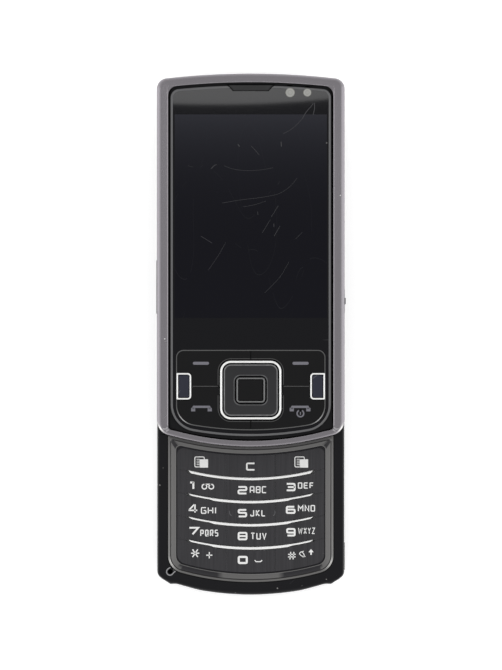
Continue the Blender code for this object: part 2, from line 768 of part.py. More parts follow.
def row_line(row, x):
    """Height of the middle of the bar under a row, at x."""
    y = PLATE.low + (PLATE.high - PLATE.low) * ROW_SHARES[row]
    radius = BAR_RADIUS if row else TOP_BAR_RADIUS
    return arc_height(x, y, -radius)


def bar_drop(row, x):
    """How far below its middle line a bar's lower edge lies at x."""
    if not row:
        return BAR_THICKNESS / 2
    start = PLATE.half_width * BAR_STEP_REACH_SHARE
    share = min(max((abs(x) - start) / BAR_STEP_LENGTH, 0), 1)
    thickness = BAR_THICKNESS + (BAR_TIP_THICKNESS - BAR_THICKNESS) * share
    return thickness - BAR_THICKNESS / 2


def slot_reach(x, bar_half):
    """Half width at x of the slot between two rows, wide round the bar and narrow past its end."""
    end = PLATE.half_width * BAR_REACH_SHARE + KEY_GAP
    share = min(max((abs(x) - end) / SLOT_RAMP, 0), 1)
    wide = bar_half + KEY_GAP
    return wide + (KEY_GAP / 2 - wide) * share


def key_stations(x0, x1, row):
    """Places along x where a key's edges bend."""
    reach = PLATE.half_width * BAR_REACH_SHARE + KEY_GAP
    step = PLATE.half_width * BAR_STEP_REACH_SHARE
    marks = {x0, x1}
    for k in range(1, ARC_STEPS):
        marks.add(x0 + (x1 - x0) * k / ARC_STEPS)
    bends = [reach, reach + SLOT_RAMP, step, step + BAR_STEP_LENGTH]
    if row == 0:
        bends += corner_stations(PLATE_HEAD_CORNER)
    if row == len(ROW_SHARES):
        bends += corner_stations(PLATE_CORNER)
    for bend in bends:
        for x in (-bend, bend):
            if x0 + KEY_GAP < x < x1 - KEY_GAP / 2:
                marks.add(x)
    ordered = sorted(marks)
    kept = [ordered[0]]
    for x in ordered[1:]:
        if x - kept[-1] > KEY_GAP / 2 or x == x1:
            kept.append(x)
    return kept


def corner_stations(radius):
    """Places along x that divide a round corner of the plate evenly."""
    turns = (math.pi / 2 * k / CORNER_STEPS for k in range(1, CORNER_STEPS + 1))
    return [PLATE.half_width - radius * (1 - math.sin(turn)) for turn in turns]


def build_key(name, row, column):
    """One zone of the keypad's plate, with the bars' slots along its edges."""
    width = 2 * PLATE.half_width / COLUMNS
    left = -PLATE.half_width + column * width
    x0 = left if column == 0 else left + KEY_GAP / 2
    x1 = left + width if column == COLUMNS - 1 else left + width - KEY_GAP / 2

    def low_edge(x):
        if row == len(ROW_SHARES):
            return PLATE.edge(x, upper=False)
        return row_line(row, x) + slot_reach(x, BAR_THICKNESS / 2)

    def high_edge(x):
        if row == 0:
            return PLATE.edge(x, upper=True)
        return row_line(row - 1, x) - slot_reach(x, bar_drop(row - 1, x))

    stations = key_stations(x0, x1, row)
    middle = (x0 + x1) / 2
    centre = (middle, (low_edge(middle) + high_edge(middle)) / 2, PLATE_BOTTOM)
    key = strip(stations, low_edge, high_edge, PLATE_BOTTOM, PLATE_TOP)
    add_piece(name, key, "brushed_plate", origin=centre)


def build_bar(row):
    """One bright bar, thicker in the middle, standing on the mat in its slot."""
    reach = PLATE.half_width * BAR_REACH_SHARE
    step = PLATE.half_width * BAR_STEP_REACH_SHARE
    marks = {reach * k / ARC_STEPS for k in range(-ARC_STEPS, ARC_STEPS + 1)}
    if row:
        marks |= {-step - BAR_STEP_LENGTH, -step, step, step + BAR_STEP_LENGTH}
    stations = sorted(marks)

    def low_edge(x):
        return row_line(row, x) - bar_drop(row, x)

    def high_edge(x):
        return row_line(row, x) + BAR_THICKNESS / 2

    top = BASE_HEIGHT - BAR_RECESS
    bar = strip(stations, low_edge, high_edge, top - BAR_HEIGHT, top, BAR_BEVEL)
    add_piece(f"row_bar_{row + 1}", bar, "bright_metal")


def build_keypad():
    """Fifteen keys in five rows, the bars between the rows, the mat and the main board."""
    names = (
        ("key_shortcut_left", "key_clear", "key_shortcut_right"),
        ("key_1", "key_2", "key_3"),
        ("key_4", "key_5", "key_6"),
        ("key_7", "key_8", "key_9"),
        ("key_star", "key_0", "key_hash"),
    )
    for row, row_names in enumerate(names):
        for column, name in enumerate(row_names):
            build_key(name, row, column)
    for row in range(len(ROW_SHARES)):
        build_bar(row)
    flange = PLATE.inset(-MAT_FLANGE).points()
    island = PLATE.points()
    shoulder = MAT_BOTTOM + MAT_FLANGE_HEIGHT
    mat = [
        at_height(flange, MAT_BOTTOM),
        at_height(flange, shoulder),
        at_height(island, shoulder),
        at_height(island, MAT_TOP),
    ]
    add_piece("keypad_mat", loft(mat), "silicone")
    board = BODY.inset(BOARD_MARGIN).points()
    add_piece("main_board", prism(board, BOARD_BOTTOM, BOARD_TOP), "board_green")


def build_slide_base():
    """The steel plate of the lower body, with an edge folded up and in on each side as a rail."""
    lip = RAIL_HALF - RAIL_LIP
    wall = RAIL_HALF - RAIL_WALL
    right = [
        (RAIL_HALF, RAIL_BOTTOM),
        (RAIL_HALF, BASE_HEIGHT),
        (lip, BASE_HEIGHT),
        (lip, CHANNEL_TOP),
        (wall, CHANNEL_TOP),
        (wall, CHANNEL_BOTTOM),
    ]
    profile = right + [(-x, z) for x, z in reversed(right)]
    plate = add_piece("slide_base_plate", profile_along_y(profile, RAIL_LOW, RAIL_HIGH), "steel")
    low, high = RAIL_BOTTOM - OVERRUN, CHANNEL_BOTTOM + OVERRUN
    screw_x = RAIL_HALF * RAIL_SCREW_X_SHARE
    for y in (RAIL_LOW + RAIL_SCREW_MARGIN, RAIL_HIGH - RAIL_SCREW_MARGIN):
        for x in (-screw_x, screw_x):
            cut(plate, prism(circle(RAIL_SCREW_RADIUS), low, high, (x, y)))
    flex_half = FLEX_WIDTH / 2 + SEAT_GAP
    slot = ((FLEX_X - flex_half, FLEX_X + flex_half), (FLEX_LOW - FLEX_SLOT_LENGTH, FLEX_LOW))
    cut(plate, box(*slot, (low, high)))


def build_spring_and_flex():
    """The flat assist spring and the folded flex cable, in the space between the slide's plates."""
    wire_z = CHANNEL_BOTTOM + RUNNING_GAP + SPRING_WIRE / 2
    middle_y = (RAIL_LOW + RAIL_HIGH) / 2
    route = spring_route(SPRING_X, middle_y, wire_z)
    add_wire("assist_spring", route, SPRING_WIRE / 2, "spring_steel")
    low = CHANNEL_BOTTOM + RUNNING_GAP
    outer = FLEX_BEND + FLEX_THICKNESS
    centre_z = low + outer
    y0 = FLEX_LOW
    y1 = y0 + FLEX_LENGTH
    turns = [math.pi * k / (2 * EDGE_STEPS) for k in range(2 * EDGE_STEPS + 1)]
    outside = [(y1 + outer * math.sin(turn), centre_z - outer * math.cos(turn)) for turn in turns]
    inside = [
        (y1 + FLEX_BEND * math.sin(turn), centre_z - FLEX_BEND * math.cos(turn)) for turn in turns
    ]
    profile = [(y0, low)] + outside + [(y0, centre_z + outer), (y0, centre_z + FLEX_BEND)]
    profile += list(reversed(inside)) + [(y0, low + FLEX_THICKNESS)]
    x0 = FLEX_X - FLEX_WIDTH / 2
    x1 = FLEX_X + FLEX_WIDTH / 2
    ribbon = loft([[(x0, y, z) for y, z in profile], [(x1, y, z) for y, z in profile]])
    add_piece("flex_cable", ribbon, "flex_amber")


def spring_route(x, y, z):
    """Points of a wire bowed round (x, y), with a small open eye turned inwards at each end."""
    half = math.radians(SPRING_SWEEP) / 2
    points = []
    for k in range(SPRING_STEPS + 1):
        angle = math.pi - half + 2 * half * k / SPRING_STEPS
        points.append((x + SPRING_RADIUS * math.cos(angle), y + SPRING_RADIUS * math.sin(angle)))
    for end, turn_way in ((0, -1), (-1, 1)):
        px, py = points[end]
        outward = math.atan2(py - y, px - x)
        reach = SPRING_EYE_RADIUS
        eye = []
        for k in range(1, SPRING_STEPS // 2):
            angle = outward + turn_way * 2 * math.pi * k / SPRING_STEPS * 1.5
            cx = px - reach * math.cos(outward)
            cy = py - reach * math.sin(outward)
            eye.append((cx + reach * math.cos(angle), cy + reach * math.sin(angle)))
        points = list(reversed(eye)) + points if end == 0 else points + eye
    return [(px, py, z) for px, py in points]


def add_wire(name, route, radius, finish):
    """A round wire along a route, as a curve with filled caps."""
    curve = bpy.data.curves.new(name, "CURVE")
    curve.dimensions = "3D"
    curve.bevel_depth = radius
    curve.bevel_resolution = 1
    curve.use_fill_caps = True
    spline = curve.splines.new("POLY")
    spline.points.add(len(route) - 1)
    for point, place in zip(spline.points, route):
        point.co = (*place, 1)
    curve.materials.append(finish_material(finish))
    bpy.context.collection.objects.link(bpy.data.objects.new(name, curve))


def build_back():
    """The battery and its sliding cover, the camera and its window, and the loudspeaker."""
    rings = []
    for k in range(EDGE_STEPS + 1):
        z = COVER_HEIGHT * k / EDGE_STEPS
        rings.append(at_height(BODY.inset(back_inset(z)).points(), z))
    cover = add_piece("battery_cover", loft(rings), "gloss_black")
    keep = box(
        (-COVER_HALF, COVER_HALF),
        (-HALF_LENGTH - OVERRUN, COVER_HIGH),
        (-OVERRUN, COVER_HEIGHT + OVERRUN),
    )
    cut(cover, keep, operation="INTERSECT")
    for k in range(GRIP_COUNT):
        y = -HALF_LENGTH + GRIP_TAIL_MARGIN + k * GRIP_PITCH
        grip = rounded_rectangle(GRIP_LENGTH / 2, GRIP_WIDTH / 2, GRIP_WIDTH / 4)
        cut(cover, prism(grip, -OVERRUN, GRIP_DEPTH, (0, y)))
    low = -HALF_LENGTH + BATTERY_TAIL_MARGIN
    high = COVER_HIGH - BATTERY_MARGIN
    half = COVER_HALF - BATTERY_MARGIN
    plan = rounded_rectangle(half, (high - low) / 2, BATTERY_CORNER)
    battery = prism(plan, COVER_CLEAR, COVER_CLEAR + BATTERY_HEIGHT, (0, (low + high) / 2))
    add_piece("battery", battery, "battery_grey")
    window = prism(circle(WINDOW_RADIUS), WINDOW_RECESS, WINDOW_RECESS + WINDOW_HEIGHT, CAMERA_CENTRE)
    add_piece("camera_window", window, "clear_window")
    flange = REAR_FLOOR + SEAT_GAP
    barrel = flange - CAMERA_BARREL_HEIGHT
    camera = [
        (CAMERA_BARREL_RADIUS, barrel),
        (CAMERA_BARREL_RADIUS, flange),
        (CAMERA_RADIUS, flange),
        (CAMERA_RADIUS, COMPONENT_TOP),
    ]
    add_piece("camera_module", turned(camera, CAMERA_CENTRE), "satin_black")
    plan = rounded_rectangle(SPEAKER_WIDTH / 2, SPEAKER_LENGTH / 2, SPEAKER_CORNER)
    speaker = prism(plan, flange, COMPONENT_TOP, SPEAKER_CENTRE)
    add_piece("loudspeaker", speaker, "satin_black")


def side_rings(side, y, steps):
    """Loops in upright planes, one for each (x, half length, half height) from inside outwards."""
    rings = []
    for x, half_length, half_height in steps:
        corner = min(half_height, half_length) / 2
        plan = rounded_rectangle(half_length, half_height, corner)
        rings.append([(side * x, y + u, SIDE_KEY_Z + v) for u, v in plan])
    return rings


def build_side_key(name, side, y, length, proud, nub=None, flange_margin=FLANGE_MARGIN):
    """A key through the side wall, held in by a wider flange, with an optional nub outside."""
    half = length / 2
    height = SIDE_KEY_HALF_HEIGHT
    flange_outer = HALF_WIDTH - WALL - SEAT_GAP
    flange_inner = flange_outer - FLANGE_THICKNESS
    face = HALF_WIDTH + proud
    steps = [
        (flange_inner, half + flange_margin, height + FLANGE_MARGIN),
        (flange_outer, half + flange_margin, height + FLANGE_MARGIN),
        (flange_outer, half, height),
        (face - SIDE_KEY_BEVEL, half, height),
        (face, half - SIDE_KEY_BEVEL, height - SIDE_KEY_BEVEL),
    ]
    if nub:
        nub_length, nub_proud = nub
        nub_height = height - 2 * SIDE_KEY_BEVEL
        steps.append((face, nub_length / 2, nub_height))
        steps.append((HALF_WIDTH + nub_proud, nub_length / 2 - SIDE_KEY_BEVEL, nub_height))
    pivot = (side * HALF_WIDTH, y, SIDE_KEY_Z)
    add_piece(name, loft(side_rings(side, y, steps)), "gloss_black", origin=pivot)


def build_side_keys():
    """The rocker on the left, the hold switch and the camera key on the right."""
    build_side_key("volume_rocker", -1, ROCKER_Y, ROCKER_LENGTH, ROCKER_PROUD)
    build_side_key(
        "hold_switch",
        1,
        HOLD_Y,
        HOLD_LENGTH,
        HOLD_PROUD,
        nub=(HOLD_NUB_LENGTH, HOLD_NUB_PROUD),
        flange_margin=FLANGE_MARGIN + HOLD_TRAVEL,
    )
    build_side_key("camera_key", 1, SHUTTER_Y, SHUTTER_LENGTH, SHUTTER_PROUD)


def build_port():
    """The charging and data socket in the left wall, and the flap that shuts it."""
    half = PORT_LENGTH / 2
    inner = -HALF_WIDTH + FLAP_THICKNESS
    hinge_y = PORT_Y - half
    pull = hinge_y + PORT_LENGTH - FLAP_PULL_LENGTH
    plan = [
        (-HALF_WIDTH, hinge_y),
        (inner, hinge_y),
        (inner, hinge_y + PORT_LENGTH),
        (-HALF_WIDTH + FLAP_PULL_DEPTH, hinge_y + PORT_LENGTH),
        (-HALF_WIDTH, pull),
    ]
    flap = prism(plan, SIDE_KEY_Z - PORT_HALF_HEIGHT, SIDE_KEY_Z + PORT_HALF_HEIGHT)
    hinge = (-HALF_WIDTH, hinge_y, SIDE_KEY_Z)
    add_piece("port_flap", flap, "satin_black", origin=hinge)
    mouth = -HALF_WIDTH + WALL + SEAT_GAP
    shell = box(
        (mouth, mouth + SOCKET_DEPTH),
        (PORT_Y - SOCKET_LENGTH / 2, PORT_Y + SOCKET_LENGTH / 2),
        (SIDE_KEY_Z - SOCKET_HALF_HEIGHT, SIDE_KEY_Z + SOCKET_HALF_HEIGHT),
    )
    socket = add_piece("usb_socket", shell, "steel")
    bore = box(
        (mouth - OVERRUN, mouth + SOCKET_BORE_DEPTH),
        (PORT_Y - SOCKET_BORE_LENGTH / 2, PORT_Y + SOCKET_BORE_LENGTH / 2),
        (SIDE_KEY_Z - SOCKET_BORE_HEIGHT / 2, SIDE_KEY_Z + SOCKET_BORE_HEIGHT / 2),
    )
    cut(socket, bore)


def build_slider_case(body):
    """The upper body's back cover and its bevelled silver frame."""
    rings = []
    for rise, inset in quarter_round(COVER_EDGE_HEIGHT, COVER_EDGE_INSET):
        rings.append(at_height(BODY.inset(COVER_INSET + inset).points(), SLIDER_BOTTOM + rise))
    rings.append(at_height(BODY.inset(COVER_INSET).points(), SLIDER_BOTTOM + COVER_PLATE))
    add_piece("slider_back_cover", loft(rings), "satin_black", body)

    def frame_loop(share, z):
        outline = BODY.inset(
            FRAME_SIDE * share, FRAME_TAIL * share, FRAME_HEAD * share, FRAME_INNER_CORNER
        )
        return at_height(outline.points(), z)

    rise = FRAME_ROUND_HEIGHT
    opening = FRAME_OPENING.points()
    rings = [
        at_height(opening, FRAME_BOTTOM),
        at_height(BODY.inset(FRAME_FOOT_INSET).points(), FRAME_BOTTOM),
        frame_loop(0, FRAME_BOTTOM + FRAME_FOOT_HEIGHT),
    ]
    for drop, share in reversed(quarter_round(rise, FRAME_ROUND_SHARE)):
        rings.append(frame_loop(share, SLIDER_TOP - FRAME_SLOPE - drop))
    lip = 1 - FRAME_LIP / FRAME_SIDE
    rings.append(frame_loop(lip - FRAME_LIP / FRAME_SIDE, SLIDER_TOP))
    rings.append(frame_loop(lip, SLIDER_TOP))
    rings.append(at_height(opening, SLIDER_TOP - FRAME_SLOPE))
    add_piece("slider_frame", loft(rings, closed=True), "silver_frame", body)


def ear_trapezoid(low, high, top_half, low_half):
    """Plan of a slot that is wider at its upper edge."""
    return [(-low_half, low), (low_half, low), (top_half, high), (-top_half, high)]


def build_chassis(body):
    """The black inner tray that carries the display, the key board, the earpiece and the lenses."""
    outline = FRAME_OPENING.inset(SEAT_GAP).points()
    chassis = add_piece(
        "slider_chassis", prism(outline, FRAME_BOTTOM, CHASSIS_TOP), "satin_black", body
    )
    display = display_range()
    half = GLASS.half_width - DISPLAY_MARGIN + DISPLAY_GAP
    floor = GLASS_BOTTOM - SEAT_GAP - DISPLAY_HEIGHT - DISPLAY_GAP
    top = CHASSIS_TOP + OVERRUN
    cut(
        chassis,
        box((-half, half), (display[0] - DISPLAY_GAP, display[1] + DISPLAY_GAP), (floor, top)),
        body,
    )
    pocket = DECK.inset(-DECK_POCKET_GAP).points()
    cut(chassis, prism(pocket, FUNCTION_BOARD_BOTTOM - SEAT_GAP, top), body)
    ear_half = EAR_HALF_WIDTH + SEAT_GAP
    ear_floor = GLASS_BOTTOM - SEAT_GAP - EAR_HEIGHT - SEAT_GAP
    cut(
        chassis,
        box(
            (-ear_half, ear_half),
            (EAR_SLOT_HIGH - EAR_LENGTH - SEAT_GAP, EAR_SLOT_HIGH + SEAT_GAP),
            (ear_floor, top),
        ),
        body,
    )
    lens_floor = CHASSIS_TOP - LENS_BODY_HEIGHT - SEAT_GAP
    for x, radius in ((LENS_X, LENS_BODY_RADIUS), (SENSOR_X, SENSOR_BODY_RADIUS)):
        cut(chassis, prism(circle(radius + SEAT_GAP), lens_floor, top, (x, LENS_Y)), body)


def display_range():
    """Low and high edge of the display module."""
    low = DECK.high + DISPLAY_LOW_MARGIN
    high = EAR_SLOT_HIGH - EAR_LENGTH - SEAT_GAP * 2
    return low, high


def build_front(body):
    """The window with its openings, the display, the earpiece, the camera and the sensor."""
    rings = [
        at_height(GLASS.points(), GLASS_BOTTOM),
        at_height(GLASS.points(), GLASS_TOP - GLASS_BEVEL_HEIGHT),
        at_height(GLASS.inset(GLASS_BEVEL).points(), GLASS_TOP),
    ]
    window = add_piece("front_window", loft(rings), "window_glass", body)
    low = GLASS_BOTTOM - OVERRUN
    high = GLASS_TOP + OVERRUN
    cut(window, prism(DECK.inset(-DECK_GROOVE / 2).points(), low, high), body)
    slot_low = EAR_SLOT_HIGH - EAR_SLOT_HEIGHT
    notch = ear_trapezoid(
        slot_low - KEY_GAP, EAR_SLOT_HIGH + KEY_GAP, EAR_SLOT_TOP + KEY_GAP, EAR_SLOT_LOW + KEY_GAP
    )
    cut(window, prism(notch, low, high), body)
    for name, x, radius, body_radius in (
        ("front_camera", LENS_X, LENS_RADIUS, LENS_BODY_RADIUS),
        ("light_sensor", SENSOR_X, SENSOR_RADIUS, SENSOR_BODY_RADIUS),
    ):
        cut(window, prism(circle(radius + KEY_GAP), low, high, (x, LENS_Y)), body)
        base = CHASSIS_TOP - LENS_BODY_HEIGHT
        steps = [
            (body_radius, base),
            (body_radius, CHASSIS_TOP),
            (radius, CHASSIS_TOP),
            (radius, GLASS_TOP - LENS_RECESS),
        ]
        add_piece(name, turned(steps, (x, LENS_Y)), "lens_grey", body)
    display = display_range()
    half = GLASS.half_width - DISPLAY_MARGIN
    top = GLASS_BOTTOM - SEAT_GAP
    module = box((-half, half), display, (top - DISPLAY_HEIGHT, top))
    add_piece("display_module", module, "display_black", body)
    capsule = ear_trapezoid(
        EAR_SLOT_HIGH - EAR_LENGTH, EAR_SLOT_HIGH, EAR_HALF_WIDTH, EAR_HALF_WIDTH
    )
    mouth = ear_trapezoid(slot_low, EAR_SLOT_HIGH, EAR_SLOT_TOP, EAR_SLOT_LOW)
    ear = [
        at_height(capsule, top - EAR_HEIGHT),
        at_height(capsule, CHASSIS_TOP),
        at_height(mouth, CHASSIS_TOP),
        at_height(mouth, GLASS_TOP - EAR_SLOT_RECESS),
    ]
    add_piece("earpiece", loft(ear), "satin_black", body)


def tab_plan(side, grow):
    """Plan of a side key's frame, square on its outer side, grown by a margin."""
    corner = max(TAB_CORNER + grow, TAB_OUTER_CORNER)
    outer = TAB_OUTER_CORNER
    half_x = TAB_WIDTH / 2 + grow
    half_y = TAB_LENGTH / 2 + grow
    right, left = (outer, corner) if side > 0 else (corner, outer)
    return rounded_rectangle(half_x, half_y, right, left)


def build_deck_key(name, side, upper, body):
    """A corner of the key deck, cut round the navigation key and the side key."""
    outline = DECK.inset(DECK_GROOVE / 2).points()
    plate = prism(outline, DECK_KEY_BOTTOM, GLASS_TOP)
    half = KEY_GAP / 2
    y_low, y_high = (DIVIDER_Y + half, DECK.high + OVERRUN)
    if not upper:
        y_low, y_high = (DECK.low - OVERRUN, DIVIDER_Y - half)
    x_far = side * (DECK.half_width + OVERRUN)
    x_near = side * half
    x_range = (min(x_near, x_far), max(x_near, x_far))
    centre = (side * DECK.half_width / 2, (y_low + y_high) / 2, DECK_KEY_BOTTOM)
    key = add_piece(name, plate, "key_black", body, centre)
    low = DECK_KEY_BOTTOM - OVERRUN
    high = GLASS_TOP + OVERRUN
    cut(key, box(x_range, (y_low, y_high), (low, high)), body, "INTERSECT")
    nav = rounded_rectangle(NAV_HALF_WIDTH + KEY_GAP, NAV_HALF_LENGTH + KEY_GAP, NAV_CORNER)
    cut(key, prism(nav, low, high, NAV_CENTRE), body)
    cut(key, prism(tab_plan(side, KEY_GAP), low, high, tab_centre(side)), body)


def tab_centre(side):
    """Middle of a side key, whose outer edge is flush with the deck's."""
    return side * (DECK.half_width - TAB_WIDTH / 2), TAB_CENTRE_Y


def build_deck(body):
    """The four corner keys, the side keys in their frames, and the board with its domes."""
    build_deck_key("soft_key_left", -1, True, body)
    build_deck_key("soft_key_right", 1, True, body)
    build_deck_key("call_key", -1, False, body)
    build_deck_key("end_key", 1, False, body)
    base = FUNCTION_BOARD_TOP + SEAT_GAP
    for side, word in ((-1, "left"), (1, "right")):
        centre = tab_centre(side)
        top = GLASS_TOP + TAB_PROUD
        outer = tab_plan(side, 0)
        inner = tab_plan(side, -TAB_BAND)
        rings = [
            at_height(inner, base, centre),
            at_height(outer, base, centre),
            at_height(outer, top, centre),
            at_height(inner, top, centre),
        ]
        add_piece(f"side_key_frame_{word}", loft(rings, closed=True), "bright_metal", body)
        cap = prism(tab_plan(side, -TAB_BAND - KEY_GAP), DECK_KEY_BOTTOM, GLASS_TOP, centre)
        origin = (*centre, DECK_KEY_BOTTOM)
        add_piece(f"side_key_{word}", cap, "tab_blue", body, origin)
    board = prism(DECK.points(), FUNCTION_BOARD_BOTTOM, FUNCTION_BOARD_TOP)
    add_piece("function_board", board, "board_green", body)


def nav_loop(half_x, half_y, corner, z):
    """A rounded square loop round the navigation key's centre."""
    return at_height(rounded_rectangle(half_x, half_y, corner), z, NAV_CENTRE)


def build_nav(body):
    """The navigation key: silver frame, tilting ring on its collar, select frame and key."""
    base = FUNCTION_BOARD_TOP + SEAT_GAP
    top = GLASS_TOP + NAV_PROUD
    inner_x = NAV_HALF_WIDTH - NAV_BAND
    inner_y = NAV_HALF_LENGTH - NAV_BAND
    inner_corner = NAV_CORNER - NAV_BAND
    frame = [
        nav_loop(inner_x, inner_y, inner_corner, base),
        nav_loop(NAV_HALF_WIDTH, NAV_HALF_LENGTH, NAV_CORNER, base),
        nav_loop(NAV_HALF_WIDTH, NAV_HALF_LENGTH, NAV_CORNER, top - NAV_BEVEL),
        nav_loop(NAV_HALF_WIDTH - NAV_BEVEL, NAV_HALF_LENGTH - NAV_BEVEL, NAV_CORNER - NAV_BEVEL, top),
        nav_loop(inner_x + NAV_BEVEL, inner_y + NAV_BEVEL, inner_corner + NAV_BEVEL, top),
        nav_loop(inner_x, inner_y, inner_corner, top - NAV_BEVEL),
    ]
    add_piece("nav_frame", loft(frame, closed=True), "bright_metal", body)

    ring_x = inner_x - NAV_RING_GAP
    ring_y = inner_y - NAV_RING_GAP
    hole_x = ring_x - NAV_RING_BAND_X
    hole_y = ring_y - NAV_RING_BAND_Y
    low = DECK_KEY_BOTTOM + NAV_RING_LIFT
    high = GLASS_TOP + NAV_RING_LIFT
    edge = NAV_RING_EDGE
    hole_corner = NAV_RING_CORNER - edge
    ring = [
        nav_loop(hole_x, hole_y, hole_corner, low),
        nav_loop(ring_x, ring_y, NAV_RING_CORNER, low),
        nav_loop(ring_x, ring_y, NAV_RING_CORNER, high - edge),
        nav_loop(ring_x - edge, ring_y - edge, NAV_RING_CORNER - edge, high),
        nav_loop(hole_x + edge, hole_y + edge, hole_corner, high - NAV_RING_DISH),
        nav_loop(hole_x, hole_y, hole_corner, high - NAV_RING_DISH - edge),
    ]
    pivot_z = FUNCTION_BOARD_TOP + COLLAR_GAP + COLLAR_HEIGHT
    pivot = (*NAV_CENTRE, pivot_z)
    add_piece("nav_ring", loft(ring, closed=True), "nav_grey", body, pivot)

    collar_x = ring_x - COLLAR_MARGIN
    collar_y = ring_y - COLLAR_MARGIN
    collar = [
        nav_loop(collar_x - COLLAR_WALL, collar_y - COLLAR_WALL, SELECT_CORNER, pivot_z - COLLAR_HEIGHT),
        nav_loop(collar_x, collar_y, NAV_RING_CORNER, pivot_z - COLLAR_HEIGHT),
        nav_loop(collar_x, collar_y, NAV_RING_CORNER, pivot_z),
        nav_loop(collar_x - COLLAR_WALL, collar_y - COLLAR_WALL, SELECT_CORNER, pivot_z),
    ]
    add_piece("nav_collar", loft(collar, closed=True), "silicone", body, pivot)

    outer_x = hole_x - SELECT_FRAME_GAP
    outer_y = hole_y - SELECT_FRAME_GAP
    band = SELECT_FRAME_BAND
    select_top = GLASS_TOP + SELECT_PROUD
    select = [
        nav_loop(outer_x - band, outer_y - band, SELECT_CORNER - band, base),
        nav_loop(outer_x, outer_y, SELECT_CORNER, base),
        nav_loop(outer_x, outer_y, SELECT_CORNER, select_top),
        nav_loop(outer_x - band, outer_y - band, SELECT_CORNER - band, select_top),
    ]
    add_piece("select_frame", loft(select, closed=True), "bezel_silver", body)
    key_x = outer_x - band - KEY_GAP
    key_y = outer_y - band - KEY_GAP
    key = rounded_rectangle(key_x, key_y, SELECT_CORNER - band)
    cap = prism(key, DECK_KEY_BOTTOM, GLASS_TOP, NAV_CENTRE)
    add_piece("select_key", cap, "key_black", body, (*NAV_CENTRE, DECK_KEY_BOTTOM))


def build_carriage(body):
    """The plate under the upper body whose tongues run in the two rails."""
    tongue = RAIL_HALF - RAIL_WALL - RUNNING_GAP
    neck = RAIL_HALF - RAIL_LIP - RUNNING_GAP
    low = CHANNEL_BOTTOM + RUNNING_GAP
    shoulder = low + TONGUE_HEIGHT
    top = SLIDER_BOTTOM - RUNNING_GAP
    right = [
        (neck - CARRIAGE_LEG, low),
        (tongue, low),
        (tongue, shoulder),
        (neck, shoulder),
        (neck, top),
    ]
    left = [(-x, z) for x, z in reversed(right)]
    under = top - CARRIAGE_PLATE
    arch = [(-neck + CARRIAGE_LEG, under), (neck - CARRIAGE_LEG, under)]
    high = RAIL_HIGH - TRAVEL - SEAT_GAP
    profile = right + left + arch
    foot = RAIL_LOW + SEAT_GAP
    carriage = add_piece("slide_carriage", profile_along_y(profile, foot, high), "steel", body)
    screw_x = neck - CARRIAGE_LEG - CARRIAGE_SCREW_MARGIN
    for y in (foot + CARRIAGE_SCREW_MARGIN, high - CARRIAGE_SCREW_MARGIN):
        for x in (-screw_x, screw_x):
            hole = prism(circle(CARRIAGE_SCREW_RADIUS), under - OVERRUN, top + OVERRUN, (x, y))
            cut(carriage, hole, body)


def main():
    """Clears the scene and builds the whole phone."""
    for old in list(bpy.data.objects):
        bpy.data.objects.remove(old)
    build_rear_housing()
    build_front_housing()
    build_bezel()
    build_keypad()
    build_slide_base()
    build_spring_and_flex()
    build_back()
    build_side_keys()
    build_port()
    slider = add_empty("slider_body", (0, TRAVEL, 0))
    build_slider_case(slider)
    build_chassis(slider)
    build_front(slider)
    build_deck(slider)
    build_nav(slider)
    build_carriage(slider)


main()
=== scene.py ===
"""Looks of the slide phone, slid open and lying on its back.

Metres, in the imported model's frame: +X is the phone's right, +Y its head, +Z out of its face.
Pieces of the upper half are worked out in its own frame and lifted up the phone by its travel.
"""
import json
import logging
import math
from dataclasses import dataclass, replace
from enum import Enum
from functools import partial
from typing import Callable, Optional, Sequence, Union

import bmesh
import bpy
import numpy as np
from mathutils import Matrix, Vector


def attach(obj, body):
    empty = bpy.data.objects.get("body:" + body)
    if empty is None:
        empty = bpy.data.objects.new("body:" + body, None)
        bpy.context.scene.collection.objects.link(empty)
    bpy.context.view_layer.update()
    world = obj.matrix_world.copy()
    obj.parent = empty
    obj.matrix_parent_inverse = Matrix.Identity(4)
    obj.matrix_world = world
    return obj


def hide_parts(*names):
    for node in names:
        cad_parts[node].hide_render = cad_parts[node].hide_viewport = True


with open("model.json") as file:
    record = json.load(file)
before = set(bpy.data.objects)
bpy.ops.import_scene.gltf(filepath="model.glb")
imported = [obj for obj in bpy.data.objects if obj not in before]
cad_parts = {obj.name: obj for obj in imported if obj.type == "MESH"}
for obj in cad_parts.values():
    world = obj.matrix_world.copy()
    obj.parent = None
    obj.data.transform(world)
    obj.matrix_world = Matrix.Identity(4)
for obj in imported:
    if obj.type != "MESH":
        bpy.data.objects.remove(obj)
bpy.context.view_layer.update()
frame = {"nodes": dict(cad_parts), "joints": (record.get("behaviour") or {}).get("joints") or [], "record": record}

LOG = logging.getLogger("slide_phone")
Array = np.ndarray
Colour = tuple[float, float, float]
Value = Union[float, Sequence[float], bpy.types.NodeSocket]

Place = tuple[float, float, float]
Pair = tuple[float, float]
Pairs = tuple[Pair, ...]

MM_PER_M = 1000
CORNER_STEPS = 10
ARC_STEPS = 12
ROUND_STEPS = 48
HALF_ROUND_STEPS = 9
MERGE = 0.000001
SMOOTH_ANGLE = math.radians(32)
PLANE_DIGITS = 2
PLACE_DIGITS = 7
HOLD_FROM = 0.0003
HOLD_IN = 0.00003
TRIM_WEAR = 0.3


class Brush(Enum):
    """The way a finish is brushed, as how much longer its marks are along X, Y and Z."""

    NONE = (1.0, 1.0, 1.0)
    ALONG = (1.0, 0.012, 1.0)


# Shapes


